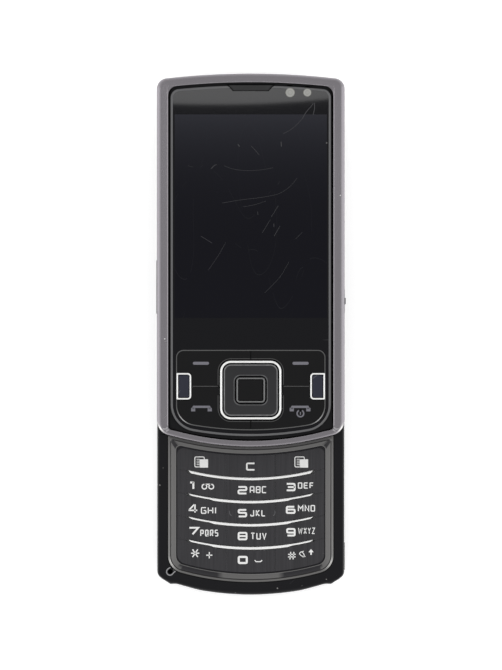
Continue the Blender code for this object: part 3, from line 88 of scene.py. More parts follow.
def arch(x: Array, apex: float, radius: float) -> Array:
    """Height at x of an arc whose middle is at apex.

    Formula: apex less the radius, plus the root of radius squared less x squared. A negative
    radius bends the arc the other way, and a radius of nought gives a straight line.

    Args:
        x: places across the arc.
        apex: height of the middle.
        radius: radius of the arc.

    Returns:
        The heights.
    """
    if not radius:
        return np.full_like(np.asarray(x, float), apex)
    return apex - radius + math.copysign(1.0, radius) * np.sqrt(radius**2 - np.square(x))


@dataclass(frozen=True)
class Plan:
    """An outline with straight sides, round corners and arched ends."""

    half_width: float
    low: float
    high: float
    low_radius: float = 0.0
    high_radius: float = 0.0
    low_corner: float = 0.0
    high_corner: float = 0.0
    marks: tuple[float, ...] = ()

    def inset(
        self,
        side: float,
        low: Optional[float] = None,
        high: Optional[float] = None,
        least: Optional[float] = None,
    ) -> "Plan":
        """The outline moved in.

        Args:
            side: move at the sides.
            low: move at the low end, as at the sides where it isn't given.
            high: move at the high end, as at the sides where it isn't given.
            least: smallest corner radius that may be left.

        Returns:
            The inner outline.
        """
        low = side if low is None else low
        high = side if high is None else high
        least = min(self.low_corner, self.high_corner) / 2 if least is None else least
        return Plan(
            self.half_width - side,
            self.low + low,
            self.high - high,
            self.low_radius - low if self.low_radius else 0.0,
            self.high_radius - high if self.high_radius else 0.0,
            max(self.low_corner - side, least),
            max(self.high_corner - side, least),
            self.marks,
        )

    def end(self, apex: float, radius: float, corner: float) -> Array:
        """Right half of an end that lies up +Y: the side, the round corner, the arc, the apex.

        Formula: the corner circle touches the side and the end's arc, so its centre lies on a
        circle round the arc's centre, one corner radius inside it.

        Args:
            apex: height of the middle.
            radius: radius of the end.
            corner: radius of the corner.

        Returns:
            Points as rows of x and y.
        """
        reach = self.half_width - corner
        if radius:
            sign = math.copysign(1.0, radius)
            centre = apex - radius
            across = abs(radius) - sign * corner
            corner_y = centre + sign * math.sqrt(across**2 - reach**2)
            turn = math.atan2(sign * (corner_y - centre), sign * reach)
        else:
            corner_y = apex - corner
            turn = math.pi / 2
        angle = turn * np.linspace(0, 1, CORNER_STEPS + 1)
        bend = np.column_stack((reach + corner * np.cos(angle), corner_y + corner * np.sin(angle)))
        x = bend[-1, 0] * (1 - np.linspace(0, 1, ARC_STEPS + 1)[1:])
        x = np.sort(np.concatenate((x, self.marks)))[::-1]
        return np.vstack((bend, np.column_stack((x, arch(x, apex, radius)))))

    def halves(self) -> tuple[Array, Array]:
        """Right halves of the high end, and of the low end turned to lie up +Y."""
        high = self.end(self.high, self.high_radius, self.high_corner)
        return high, self.end(-self.low, self.low_radius, self.low_corner)

    def loop(self) -> Array:
        """The whole outline, anticlockwise from the middle of its low end, as rows of x and y."""
        top, tail = self.halves()
        flip_x, flip_y = np.array((-1.0, 1.0)), np.array((1.0, -1.0))
        return np.vstack((tail[::-1] * flip_y, top, top[:-1][::-1] * flip_x, -tail[:-1]))

    def half_count(self) -> int:
        """How many points each half of an end has."""
        return CORNER_STEPS + 1 + ARC_STEPS + len(self.marks)

    def with_sides(self, y: float) -> Array:
        """The whole outline with a point added on each straight side, at height y."""
        count = self.half_count()
        added = ((self.half_width, y), (-self.half_width, y))
        return np.insert(self.loop(), (count, 3 * count - 1), added, axis=0)

    def at(self, z: float) -> Array:
        """The outline at a height, as rows of x, y and z."""
        return at_height(self.loop(), z)

    def below(self, y: float) -> "Plan":
        """The part of the outline below a straight cut."""
        return replace(self, high=y, high_radius=0.0, high_corner=0.0)

    def above(self, y: float) -> "Plan":
        """The part of the outline above a straight cut."""
        return replace(self, low=y, low_radius=0.0, low_corner=0.0)

    def edge(self, x: Array, upper: bool) -> Array:
        """Heights at x of the upper or lower end, read between the outline's own points.

        Args:
            x: places across.
            upper: True for the end up +Y.

        Returns:
            The heights.
        """
        half = self.halves()[0 if upper else 1][::-1]
        heights = np.interp(np.abs(x), half[:, 0], half[:, 1])
        return heights if upper else -heights


def at_height(loop: Array, z: Union[float, Array], centre: Sequence[float] = (0.0, 0.0)) -> Array:
    """A flat loop moved to a centre, at one height or one for each point, as x, y and z."""
    flat = np.asarray(loop) + np.asarray(centre)
    return np.column_stack((flat, np.broadcast_to(z, len(flat))))


def rounded(
    half_x: float, half_y: float, corner: float, left_corner: Optional[float] = None
) -> Array:
    """A rectangle with round corners: quarter circles at the four corners, joined by its sides.

    Args:
        half_x: half its width.
        half_y: half its length.
        corner: radius of the right corners.
        left_corner: radius of the left corners, as on the right where it isn't given.

    Returns:
        Rows of x and y, anticlockwise from the right side's upper corner.
    """
    left = corner if left_corner is None else left_corner
    quarter = np.linspace(0, math.pi / 2, CORNER_STEPS + 1)
    turns = (quarter[None, :] + math.pi / 2 * np.arange(4)[:, None]).ravel()
    side = np.repeat((1.0, -1.0, -1.0, 1.0), len(quarter))
    end = np.repeat((1.0, 1.0, -1.0, -1.0), len(quarter))
    radius = np.where(side > 0, corner, left)
    x = side * (half_x - radius) + radius * np.cos(turns)
    y = end * (half_y - radius) + radius * np.sin(turns)
    return np.column_stack((x, y))


def on_circle(turns: Array) -> Array:
    """Points of the unit circle at some angles, as rows of x and y."""
    return np.column_stack((np.cos(turns), np.sin(turns)))


def circle(radius: float, steps: int = ROUND_STEPS) -> Array:
    """A circle as rows of x and y."""
    return radius * on_circle(np.arange(steps) * 2 * math.pi / steps)


def line_at(x: Array, y: Array, z: float) -> Array:
    """A line over x at one height, as rows of x, y and z."""
    return np.column_stack((x, y, np.full_like(x, z)))


def quarter(height: float, inset: float, steps: int = 8) -> list[Pair]:
    """Drops and insets of a quarter ellipse, from a level edge to an upright one.

    Formula: at angle a the drop is height times one less cos a, the inset is inset times one
    less sin a.

    Args:
        height: full drop.
        inset: full inset.
        steps: how many spans.

    Returns:
        Pairs of drop and inset.
    """
    angle = np.linspace(0, math.pi / 2, steps + 1)
    pairs = np.column_stack((height * (1 - np.cos(angle)), inset * (1 - np.sin(angle))))
    return [tuple(pair) for pair in pairs.tolist()]


def glow(loop: Array, place: Pair, reach: float) -> Array:
    """Brightness near a place and its mirror image: e to the minus square of distance over reach."""
    away = np.hypot(np.abs(loop[:, 0]) - place[0], loop[:, 1] - place[1])
    return np.exp(-((away / reach) ** 2))


class Shell:
    """Gathers grids and flat faces of points into one mesh."""

    def __init__(self) -> None:
        """Starts empty."""
        self.points: list[Array] = []
        self.faces: list[list[int]] = []
        self.rims: list[Array] = []
        self.painted_shades: list[Array] = []
        self.count = 0

    def take(self, points: Array, rim: Union[float, Array], painted_shade: Union[float, Array]) -> Array:
        """Adds points with their edge values and painted shade values, and returns their numbers."""
        flat = points.reshape(-1, 3)
        numbers = self.count + np.arange(len(flat))
        self.points.append(flat)
        self.rims.append(np.broadcast_to(rim, points.shape[:-1]).ravel().astype(np.float32))
        self.painted_shades.append(np.broadcast_to(painted_shade, points.shape[:-1]).ravel().astype(np.float32))
        self.count += len(flat)
        return numbers

    def grid(
        self,
        rows: Sequence[Array],
        closed: bool = False,
        around: bool = True,
        rims: Optional[Sequence[Union[float, Array]]] = None,
        painted_shades: Optional[Sequence[Union[float, Array]]] = None,
    ) -> "Shell":
        """Adds the surface that runs through rows of equally many points.

        A wide band gets a row just inside each of its edges, so that its shading stays flat.

        Args:
            rows: loops or paths, each of x, y and z.
            closed: True where the last row joins the first.
            around: True where each row closes on itself.
            rims: how far each row counts as an edge, from 0 to 1, for a row or for each point; edges get rubbed
                wear, and on some finishes a painted highlight.
            painted_shades: how much painted shade each row gets, from 0 to 1, for a row or for each of its points.

        Returns:
            This shell.
        """
        stack = np.stack([np.asarray(row, float) for row in rows])
        count, length = stack.shape[:2]
        values = np.zeros((count, length, 2))
        for number, given in enumerate((rims, painted_shades)):
            if given is not None:
                values[:, :, number] = np.stack([np.broadcast_to(row, length) for row in given])
        stack = hold_flats(np.concatenate((stack, values), axis=2), closed)
        count = len(stack)
        number = self.take(stack[..., :3], stack[..., 3], stack[..., 4]).reshape(count, length)
        lower = number if closed else number[:-1]
        upper = np.roll(number, -1, axis=0) if closed else number[1:]
        if around:
            quads = (lower, np.roll(lower, -1, axis=1), np.roll(upper, -1, axis=1), upper)
        else:
            quads = (lower[:, :-1], lower[:, 1:], upper[:, 1:], upper[:, :-1])
        self.faces += np.stack(quads, axis=-1).reshape(-1, 4).tolist()
        return self

    def face(self, loop: Array, rim: float = 0.0) -> "Shell":
        """Adds one flat face on a loop."""
        self.faces.append(self.take(np.asarray(loop, float), rim, 0.0).tolist())
        return self

    def solid(self, rows: Sequence[Array], rims: Optional[Sequence[float]] = None) -> "Shell":
        """Adds a solid through loops from its underside up, with a flat face at each end."""
        self.grid(rows, rims=rims)
        self.face(rows[0])
        return self.face(rows[-1], 0.0 if rims is None else rims[-1])

    def slab(self, loop: Array, low: float, high: float, centre: Pair = (0.0, 0.0)) -> "Shell":
        """Adds a solid with upright sides on a flat loop, from its underside to its top."""
        return self.solid([at_height(loop, z, centre) for z in (low, high)])

    def mesh(self, name: str, lift: float) -> bpy.types.Mesh:
        """Makes the mesh, with its seams merged and its faces outwards.

        Args:
            name: the mesh's name.
            lift: how far it is moved up +Y.

        Returns:
            The mesh, with the attributes rim and painted_shade on its points.
        """
        points = np.concatenate(self.points) + np.array((0.0, lift, 0.0))
        mesh = bpy.data.meshes.new(name)
        mesh.from_pydata(points.tolist(), [], self.faces)
        for word, values in (("rim", self.rims), ("painted_shade", self.painted_shades)):
            layer = mesh.attributes.new(word, "FLOAT", "POINT")
            layer.data.foreach_set("value", np.concatenate(values))
        tidy_mesh(mesh)
        return mesh


def hold_flats(stack: Array, closed: bool) -> Array:
    """Adds rows just inside the edges of each wide band of a grid.

    Formula: a band wider than HOLD_FROM gets a row at HOLD_IN from each of its edges, in a
    straight line between them.

    Args:
        stack: rows of points, with their values after x, y and z.
        closed: True where the last row joins the first.

    Returns:
        The rows with the added ones.
    """
    following = np.roll(stack, -1, axis=0)
    width = np.linalg.norm((following - stack)[..., :3], axis=2).mean(axis=1)
    rows = []
    for number, row in enumerate(stack):
        rows.append(row)
        last = number == len(stack) - 1
        if width[number] > HOLD_FROM and (closed or not last):
            share = HOLD_IN / width[number]
            gap = following[number] - row
            rows += [row + gap * share, row + gap * (1 - share)]
    return np.stack(rows)


def tidy_mesh(mesh: bpy.types.Mesh) -> None:
    """Merges a mesh's seams, turns its faces outwards and shades its curved parts smooth."""
    bm = bmesh.new()
    bm.from_mesh(mesh)
    bmesh.ops.remove_doubles(bm, verts=bm.verts, dist=MERGE)
    bmesh.ops.dissolve_degenerate(bm, edges=bm.edges, dist=MERGE / 4)
    bmesh.ops.recalc_face_normals(bm, faces=bm.faces)
    bm.to_mesh(mesh)
    bm.free()
    mesh.shade_smooth()
    mesh.set_sharp_from_angle(angle=SMOOTH_ANGLE)


def weigh_normals(mesh: bpy.types.Mesh) -> None:
    """Gives each corner of a mesh the mean normal of the faces that meet there smoothly.

    Formula: the normal is the sum of each face's own normal times the area of all faces in its
    plane, over the faces at the corner's vertex that stand within SMOOTH_ANGLE of the corner's
    face. So a flat stays flat beside a bevel.

    Args:
        mesh: the mesh.
    """
    corners, faces = len(mesh.loops), len(mesh.polygons)
    vertex, sides = np.empty(corners, np.int32), np.empty(faces, np.int32)
    normal, centre, area = np.empty(3 * faces), np.empty(3 * faces), np.empty(faces)
    mesh.loops.foreach_get("vertex_index", vertex)
    mesh.polygons.foreach_get("loop_total", sides)
    mesh.polygons.foreach_get("normal", normal)
    mesh.polygons.foreach_get("center", centre)
    mesh.polygons.foreach_get("area", area)
    normal, centre = normal.reshape(-1, 3), centre.reshape(-1, 3)
    depth = MM_PER_M * (normal * centre).sum(axis=1)
    keys = np.round(np.column_stack((normal, depth)), PLANE_DIGITS)
    plane = np.unique(keys, axis=0, return_inverse=True)[1].ravel()
    weight = np.bincount(plane, area)[plane]
    order = np.argsort(vertex, kind="stable")
    owner = np.repeat(np.arange(faces), sides)[order]
    spot, own = vertex[order], normal[owner]
    pull = own * weight[owner][:, None]
    total = pull.copy()
    for step in range(1, int(np.bincount(vertex).max())):
        along = (own[step:] * own[:-step]).sum(axis=1)
        near = ((spot[step:] == spot[:-step]) & (along > math.cos(SMOOTH_ANGLE)))[:, None]
        total[step:] += pull[:-step] * near
        total[:-step] += pull[step:] * near
    result = np.empty_like(total)
    result[order] = total / np.linalg.norm(total, axis=1)[:, None]
    mesh.normals_split_custom_set(result)


# Shader nodes


class Tree:
    """Adds nodes to a node tree and joins them."""

    def __init__(self, tree: bpy.types.NodeTree) -> None:
        """Takes the tree to work in."""
        self.tree = tree

    def add(self, kind: str, inputs: Optional[dict] = None, **settings: object) -> bpy.types.Node:
        """Adds a node.

        Args:
            kind: the node's type without its ShaderNode prefix.
            inputs: constants or sockets by input name or number.
            settings: properties of the node.

        Returns:
            The node.
        """
        prefix = "" if kind.startswith("Node") else "ShaderNode"
        node = self.tree.nodes.new(prefix + kind)
        for key, value in settings.items():
            setattr(node, key, value)
        for key, value in (inputs or {}).items():
            self.feed(node.inputs[key], value)
        return node

    def feed(self, socket: bpy.types.NodeSocket, value: Value) -> None:
        """Gives a socket a constant, or a link from another socket."""
        if isinstance(value, bpy.types.NodeSocket):
            self.tree.links.new(value, socket)
        else:
            socket.default_value = value

    def math(self, operation: str, *values: Value, clamp: bool = False) -> bpy.types.NodeSocket:
        """The result of a Math node on constants or sockets."""
        node = self.add("Math", dict(enumerate(values)), operation=operation, use_clamp=clamp)
        return node.outputs[0]

    def blend(self, amount: Value, colour: Value, other: Colour) -> bpy.types.NodeSocket:
        """A colour carried towards another one by an amount."""
        inputs = {0: amount, 6: colour, 7: (*other, 1.0)}
        return self.add("Mix", inputs, data_type="RGBA").outputs[2]

    def tint(self, colour: Colour, shade: Value) -> bpy.types.NodeSocket:
        """A colour times a grey shade."""
        grey = self.add("CombineColor", {0: shade, 1: shade, 2: shade}).outputs[0]
        inputs = {0: 1.0, 6: (*colour, 1.0), 7: grey}
        return self.add("Mix", inputs, data_type="RGBA", blend_type="MULTIPLY").outputs[2]

    def noise(self, vector: Value, scale: Value, detail: float) -> bpy.types.NodeSocket:
        """A noise from 0 to 1."""
        inputs = {"Vector": vector, "Scale": scale, "Detail": detail}
        return self.add("TexNoise", inputs).outputs["Fac"]

    def span(self, value: Value, low: float, high: float) -> bpy.types.NodeSocket:
        """A value carried smoothly from 0 at low to 1 at high."""
        inputs = {"Value": value, "From Min": low, "From Max": high}
        return self.add("MapRange", inputs, interpolation_type="SMOOTHSTEP").outputs[0]

    def place(self) -> bpy.types.NodeSocket:
        """Object coordinates, in metres."""
        return self.add("TexCoord").outputs["Object"]


def node_group(
    name: str, inputs: dict[str, float], outputs: Sequence[str]
) -> tuple[bpy.types.NodeTree, Tree, bpy.types.Node, bpy.types.Node]:
    """Starts a node group with number sockets.

    Args:
        name: the group's name.
        inputs: its inputs and their usual values.
        outputs: its outputs.

    Returns:
        The group, its tree helper, its input node and its output node.
    """
    group = bpy.data.node_groups.new(name, "ShaderNodeTree")
    for word, usual in inputs.items():
        socket = group.interface.new_socket(word, in_out="INPUT", socket_type="NodeSocketFloat")
        socket.default_value = usual
    for word in outputs:
        group.interface.new_socket(word, in_out="OUTPUT", socket_type="NodeSocketFloat")
    tree = Tree(group)
    return group, tree, tree.add("NodeGroupInput"), tree.add("NodeGroupOutput")


BROAD_SCALE = 0.22
BROAD_SHARE = 0.4
FINE_SHARE = 0.6
SCRATCH_LAYERS: Pairs = ((0.0, 0.47), (1.1, 0.55), (2.3, 0.42))
SCRATCH_SHIFT: Pair = (0.31, 0.17)
SCRATCH_STRETCH: Place = (1.0, 0.35, 1.0)
BREAK_SCALE = 3.1
RUB_SPAN: Pair = (0.42, 0.6)


def tone_group() -> bpy.types.NodeTree:
    """Soft patches over a surface: Shade is about 1, Patch runs from 0 to 1."""
    group, tree, given, out = node_group(
        "surface_tone", {"Scale": 60.0, "Amount": 0.1}, ("Shade", "Patch")
    )
    patch = tree.noise(tree.place(), given.outputs["Scale"], 4.0)
    wander = tree.math("MULTIPLY", tree.math("SUBTRACT", patch, 0.5), given.outputs["Amount"])
    tree.feed(out.inputs["Shade"], tree.math("ADD", 1.0, wander))
    tree.feed(out.inputs["Patch"], patch)
    return group


def brush_group() -> bpy.types.NodeTree:
    """Fine straight marks: coordinates squeezed along the marks feed two sizes of noise."""
    group, tree, given, out = node_group(
        "brushed_marks", {"X": 1.0, "Y": 1.0, "Z": 1.0, "Scale": 9000.0}, ("Mark",)
    )
    sizes = {word: given.outputs[word] for word in ("X", "Y", "Z")}
    squeeze = tree.add("CombineXYZ", sizes).outputs[0]
    inputs = {0: tree.place(), 1: squeeze}
    vector = tree.add("VectorMath", inputs, operation="MULTIPLY").outputs[0]
    fine = tree.noise(vector, given.outputs["Scale"], 2.0)
    broad = tree.noise(vector, tree.math("MULTIPLY", given.outputs["Scale"], BROAD_SCALE), 2.0)
    fine = tree.math("MULTIPLY", fine, FINE_SHARE)
    broad = tree.math("MULTIPLY", broad, BROAD_SHARE)
    tree.feed(out.inputs["Mark"], tree.math("ADD", fine, broad))
    return group


def scratch_group() -> bpy.types.NodeTree:
    """Hair-fine curved scratches: thin level lines of a broad noise, broken up by another."""
    group, tree, given, out = node_group(
        "fine_scratches", {"Scale": 70.0, "Width": 0.0012, "Cover": 0.6}, ("Line",)
    )
    place = tree.place()
    total = None
    for number, (turn, level) in enumerate(SCRATCH_LAYERS):
        across, along = SCRATCH_SHIFT
        shift = {"Vector": place, "Location": (number * across, number * along, 0.0)}
        shift |= {"Rotation": (0.0, 0.0, turn), "Scale": SCRATCH_STRETCH}
        vector = tree.add("Mapping", shift).outputs[0]
        broad = tree.noise(vector, given.outputs["Scale"], 0.0)
        gap = tree.math("ABSOLUTE", tree.math("SUBTRACT", broad, level))
        share = tree.math("DIVIDE", gap, given.outputs["Width"])
        thin = tree.math("SUBTRACT", 1.0, share, clamp=True)
        broken = tree.noise(vector, tree.math("MULTIPLY", given.outputs["Scale"], BREAK_SCALE), 1.0)
        kept = tree.math("GREATER_THAN", broken, given.outputs["Cover"])
        line = tree.math("MULTIPLY", thin, kept)
        total = tree.math("MAXIMUM", total, line) if total else line
    tree.feed(out.inputs["Line"], total)
    return group


def dust_group() -> bpy.types.NodeTree:
    """Specks of dust: small spots at the middles of some cells of a Voronoi pattern."""
    group, tree, given, out = node_group(
        "dust_specks", {"Scale": 500.0, "Size": 0.12, "Cover": 0.9}, ("Speck",)
    )
    inputs = {"Vector": tree.place(), "Scale": given.outputs["Scale"]}
    cells = tree.add("TexVoronoi", inputs)
    draw = tree.add("SeparateColor", {0: cells.outputs["Color"]})
    radius = tree.math("MULTIPLY", draw.outputs[0], given.outputs["Size"])
    spot = tree.math("LESS_THAN", cells.outputs["Distance"], radius)
    kept = tree.math("GREATER_THAN", draw.outputs[1], given.outputs["Cover"])
    tree.feed(out.inputs["Speck"], tree.math("MULTIPLY", spot, kept))
    return group


def wear_and_light_group() -> bpy.types.NodeTree:
    """Rubbed edges: the rim attribute of a piece, broken up by noise. Rim passes the rim attribute on for painted
    highlights, and PaintedShade passes the painted_shade attribute on: painted shade and shadow on dark facets,
    grooves and shadowed parts.
    """
    group, tree, given, out = node_group(
        "edge_wear", {"Scale": 900.0, "Amount": 0.5}, ("Rub", "Rim", "PaintedShade")
    )
    rim, painted_shade = (tree.add("Attribute", attribute_name=n).outputs["Fac"] for n in ("rim", "painted_shade"))
    grain = tree.noise(tree.place(), given.outputs["Scale"], 4.0)
    rub = tree.span(tree.math("MULTIPLY", rim, grain), *RUB_SPAN)
    tree.feed(out.inputs["Rub"], tree.math("MULTIPLY", rub, given.outputs["Amount"]))
    tree.feed(out.inputs["Rim"], rim)
    tree.feed(out.inputs["PaintedShade"], painted_shade)
    return group


def new_material(name: str) -> tuple[bpy.types.Material, Tree, bpy.types.Node]:
    """Makes a material with nodes, and returns it with its tree and its Principled node."""
    material = bpy.data.materials.new(name)
    material.use_nodes = True
    return material, Tree(material.node_tree), material.node_tree.nodes["Principled BSDF"]


GROUPS: dict[str, Callable[[], bpy.types.NodeTree]] = {
    "surface_tone": tone_group,
    "brushed_marks": brush_group,
    "fine_scratches": scratch_group,
    "dust_specks": dust_group,
    "edge_wear": wear_and_light_group,
}


def use_group(tree: Tree, name: str, **values: float) -> bpy.types.Node:
    """Places a shared group in a material, and builds it the first time.

    Args:
        tree: the material's tree.
        name: the group's name.
        values: its inputs for this material.

    Returns:
        The group's node.
    """
    if name not in bpy.data.node_groups:
        GROUPS[name]()
    node = tree.add("Group", node_tree=bpy.data.node_groups[name])
    for word, value in values.items():
        node.inputs[word].default_value = value
    return node


@dataclass(frozen=True)
class Finish:
    """A surface finish: its colour, its gloss and its marks.

    A mark's amount of nought leaves it out. Sizes of patterns are in repeats per metre.
    """

    name: str
    slot: str
    colour: Colour
    roughness: float
    metallic: float = 0.0
    specular: float = 0.5
    tone: float = 0.12
    tone_scale: float = 60.0
    gloss_change: float = 0.08
    brush: Brush = Brush.NONE
    brush_amount: float = 0.0
    brush_scale: float = 9000.0
    brush_gloss: float = 0.3
    brush_height: float = 0.25
    grain: float = 0.0
    grain_scale: float = 9000.0
    relief: float = 0.00002
    scratches: float = 0.0
    scratch_cover: float = 0.6
    scratch_colour: Colour = (0.5, 0.5, 0.52)
    scratch_gloss: float = 0.4
    dust: float = 0.0
    dust_cover: float = 0.93
    dust_colour: Colour = (0.45, 0.44, 0.42)
    dust_gloss: float = 0.5
    wear: float = 0.0
    wear_colour: Colour = (0.5, 0.5, 0.5)
    wear_gloss: float = 0.2
    # painted_rim_tint paints the rim attribute's edges in painted_rim_colour: a painted highlight on the silver
    # frames, the window's bevel, the navigation dish, the select frame and the deck's trim line; on the lens it is
    # a darker grey at its rims.
    painted_rim_tint: float = 0.0
    painted_rim_colour: Colour = (0.4, 0.4, 0.4)
    # painted_shade_colour: the colour of the painted shade that the painted_shade attribute lays on a piece.
    painted_shade_colour: Optional[Colour] = None
    least_roughness: float = 0.02

    def material(self) -> bpy.types.Material:
        """The finish as a Principled material, made once."""
        if self.name in bpy.data.materials:
            return bpy.data.materials[self.name]
        material, tree, shader = new_material(self.name)
        shader.inputs["Metallic"].default_value = self.metallic
        shader.inputs["Specular IOR Level"].default_value = self.specular
        self.paint(tree, shader)
        return material

    def paint(self, tree: Tree, shader: bpy.types.Node) -> None:
        """Feeds the shader's colour, roughness and normal.

        Args:
            tree: the material's tree.
            shader: its Principled node.
        """
        tone = use_group(tree, "surface_tone", Scale=self.tone_scale, Amount=self.tone)
        shade = tone.outputs["Shade"]
        patch = tree.math("SUBTRACT", tone.outputs["Patch"], 0.5)
        rough = tree.math("MULTIPLY_ADD", patch, self.gloss_change, self.roughness)
        height = None
        if self.brush is not Brush.NONE:
            x, y, z = self.brush.value
            marks = use_group(tree, "brushed_marks", X=x, Y=y, Z=z, Scale=self.brush_scale)
            height = tree.math("SUBTRACT", marks.outputs["Mark"], 0.5)
            shade = tree.math("MULTIPLY_ADD", height, self.brush_amount, shade)
            rough = tree.math("MULTIPLY_ADD", height, self.brush_gloss * self.brush_amount, rough)
        colour = tree.tint(self.colour, shade)
        if self.grain:
            height = tree.noise(tree.place(), self.grain_scale, 2.0)
        if self.wear or self.painted_rim_tint:
            colour, rough = self.paint_wear_and_light(tree, colour, rough)
        if self.scratches:
            line = use_group(tree, "fine_scratches", Cover=self.scratch_cover).outputs["Line"]
            line = tree.math("MULTIPLY", line, self.scratches)
            colour = tree.blend(line, colour, self.scratch_colour)
            rough = tree.math("MULTIPLY_ADD", line, self.scratch_gloss, rough)
        if self.dust:
            speck = use_group(tree, "dust_specks", Cover=self.dust_cover).outputs["Speck"]
            speck = tree.math("MULTIPLY", speck, self.dust)
            colour = tree.blend(speck, colour, self.dust_colour)
            rough = tree.math("MULTIPLY_ADD", speck, self.dust_gloss, rough)
        rough = tree.math("MAXIMUM", rough, self.least_roughness, clamp=True)
        tree.feed(shader.inputs["Base Color"], colour)
        tree.feed(shader.inputs["Roughness"], rough)
        if height is not None:
            strength = self.grain or self.brush_height * self.brush_amount
            inputs = {"Strength": strength, "Distance": self.relief, "Height": height}
            tree.feed(shader.inputs["Normal"], tree.add("Bump", inputs).outputs[0])

    def paint_wear_and_light(
        self, tree: Tree, colour: Value, rough: Value
    ) -> tuple[bpy.types.NodeSocket, bpy.types.NodeSocket]:
        """Adds the painted shade on dark facets, grooves and shadowed parts, the painted rim colour, mostly a
        highlight, and the rubbed edges.

        Args:
            tree: the material's tree.
            colour: the colour so far.
            rough: the roughness so far.

        Returns:
            The new colour and roughness.
        """
        # The edge_wear group gives the rubbed wear, and also passes on the rim and painted_shade attributes for
        # painted highlight and painted shade.
        wear_and_light = use_group(tree, "edge_wear", Amount=self.wear)
        if self.painted_shade_colour:
            colour = tree.blend(wear_and_light.outputs["PaintedShade"], colour, self.painted_shade_colour)
        # The rims painted in painted_rim_colour: mostly a painted highlight.
        if self.painted_rim_tint:
            amount = tree.math("MULTIPLY", wear_and_light.outputs["Rim"], self.painted_rim_tint)
            colour = tree.blend(amount, colour, self.painted_rim_colour)
        if self.wear:
            colour = tree.blend(wear_and_light.outputs["Rub"], colour, self.wear_colour)
            rough = tree.math("MULTIPLY_ADD", wear_and_light.outputs["Rub"], self.wear_gloss, rough)
        return colour, rough


GLOSS_BLACK = Finish(
    "gloss_black_moulding", "gloss_black", (0.0045, 0.0045, 0.006), 0.1, specular=0.25,
    scratches=0.05, dust=0.5, dust_cover=0.2, wear=0.1, wear_colour=(0.12, 0.12, 0.13),
)
SATIN_BLACK = Finish(
    "satin_black_moulding", "satin_black", (0.008, 0.008, 0.0095), 0.42, specular=0.15,
    grain=0.25, dust=0.15,
)
# The frame's rims get a painted highlight in pale silver, besides rubbed wear.
FRAME_SILVER = Finish(
    "smoked_silver", "silver_frame", (0.27, 0.255, 0.275), 0.25, 0.9, tone=0.05,
    brush=Brush.ALONG, brush_amount=0.04, wear=0.4, wear_colour=(0.5, 0.49, 0.48),
    painted_rim_tint=1.0, painted_rim_colour=(0.8, 0.79, 0.78), scratches=0.08, dust=0.3, dust_cover=0.98,
)
# The bezel's rims get a painted highlight besides rubbed wear, and its painted_shade attribute paints shade and
# shadow in dark grey.
BEZEL_SILVER = Finish(
    "grey_silver", "bezel_silver", (0.165, 0.162, 0.16), 0.3, 0.85, tone=0.08, wear=0.4,
    wear_colour=(0.4, 0.4, 0.38), painted_rim_tint=1.0, painted_rim_colour=(0.75, 0.74, 0.72), dust=0.3,
    painted_shade_colour=(0.035, 0.034, 0.038), brush=Brush.ALONG, brush_amount=0.06,
)
# The select frame's top gets a painted highlight, besides rubbed wear.
SELECT_SILVER = Finish(
    "dark_silver", "bezel_silver", (0.12, 0.12, 0.123), 0.3, 0.8, painted_rim_tint=0.6,
    painted_rim_colour=(0.22, 0.22, 0.22), wear=0.2, wear_colour=(0.3, 0.3, 0.3),
)
BRIGHT_METAL = Finish(
    "bright_trim", "bright_metal", (0.96, 0.96, 0.95), 0.3, 0.3, tone=0.03, wear=0.3,
    wear_colour=(0.4, 0.4, 0.39), gloss_change=0.05,
)
BRUSHED_PLATE = Finish(
    "dark_brushed_plate", "brushed_plate", (0.049, 0.048, 0.052), 0.38, 0.7, tone=0.08,
    brush=Brush.ALONG, brush_amount=1.2, brush_scale=7000.0, wear=0.1,
    wear_colour=(0.1, 0.1, 0.1), dust=0.15,
)
# The window's bevel gets a painted highlight.
WINDOW_GLASS = Finish(
    "hard_coated_window", "window_glass", (0.004, 0.004, 0.0055), 0.017, specular=0.2,
    dust=0.25, dust_cover=0.96, gloss_change=0.01, painted_rim_tint=0.8, painted_rim_colour=(0.16, 0.16, 0.165),
)
DISPLAY_DARK = replace(
    WINDOW_GLASS, name="dark_display", slot="display_black", colour=(0.002, 0.002, 0.005),
    specular=0.18, scratches=0.03, scratch_cover=0.5, dust=0.4, painted_rim_tint=0.0,
)
# Colour and power of the painted sheen that makes the display paler towards its head.
DISPLAY_PAINTED_LIGHT: Colour = (0.021, 0.0215, 0.028)
DISPLAY_LIGHT_POWER = 5.0
KEY_BLACK = Finish(
    "gloss_black_key", "key_black", (0.0055, 0.0055, 0.006), 0.08, specular=0.2, dust=0.2,
    dust_cover=0.97, gloss_change=0.03,
)
# The dish's edges get a painted highlight, besides rubbed wear.
NAV_GREY = Finish(
    "dark_grey_satin", "nav_grey", (0.014, 0.014, 0.016), 0.34, specular=0.4, tone=0.05,
    painted_rim_tint=0.8, painted_rim_colour=(0.2, 0.2, 0.205), wear=0.2, grain=0.1,
)
TAB_BLUE = Finish(
    "blue_black_cap", "tab_blue", (0.018, 0.02, 0.034), 0.2, specular=0.35, scratches=0.3,
    scratch_cover=0.45, dust=0.3,
)
# Its rims are painted in a darker grey, at the lens's outer edge and its groove.
LENS_GREY = Finish(
    "pale_lens", "lens_grey", (0.36, 0.36, 0.345), 0.2, specular=0.3, tone=0.25, tone_scale=900.0,
    painted_rim_tint=0.6, painted_rim_colour=(0.16, 0.16, 0.13),
)
MARK_GREY = Finish("printed_grey", "key_black", (0.158, 0.155, 0.18), 0.35, tone=0.05)
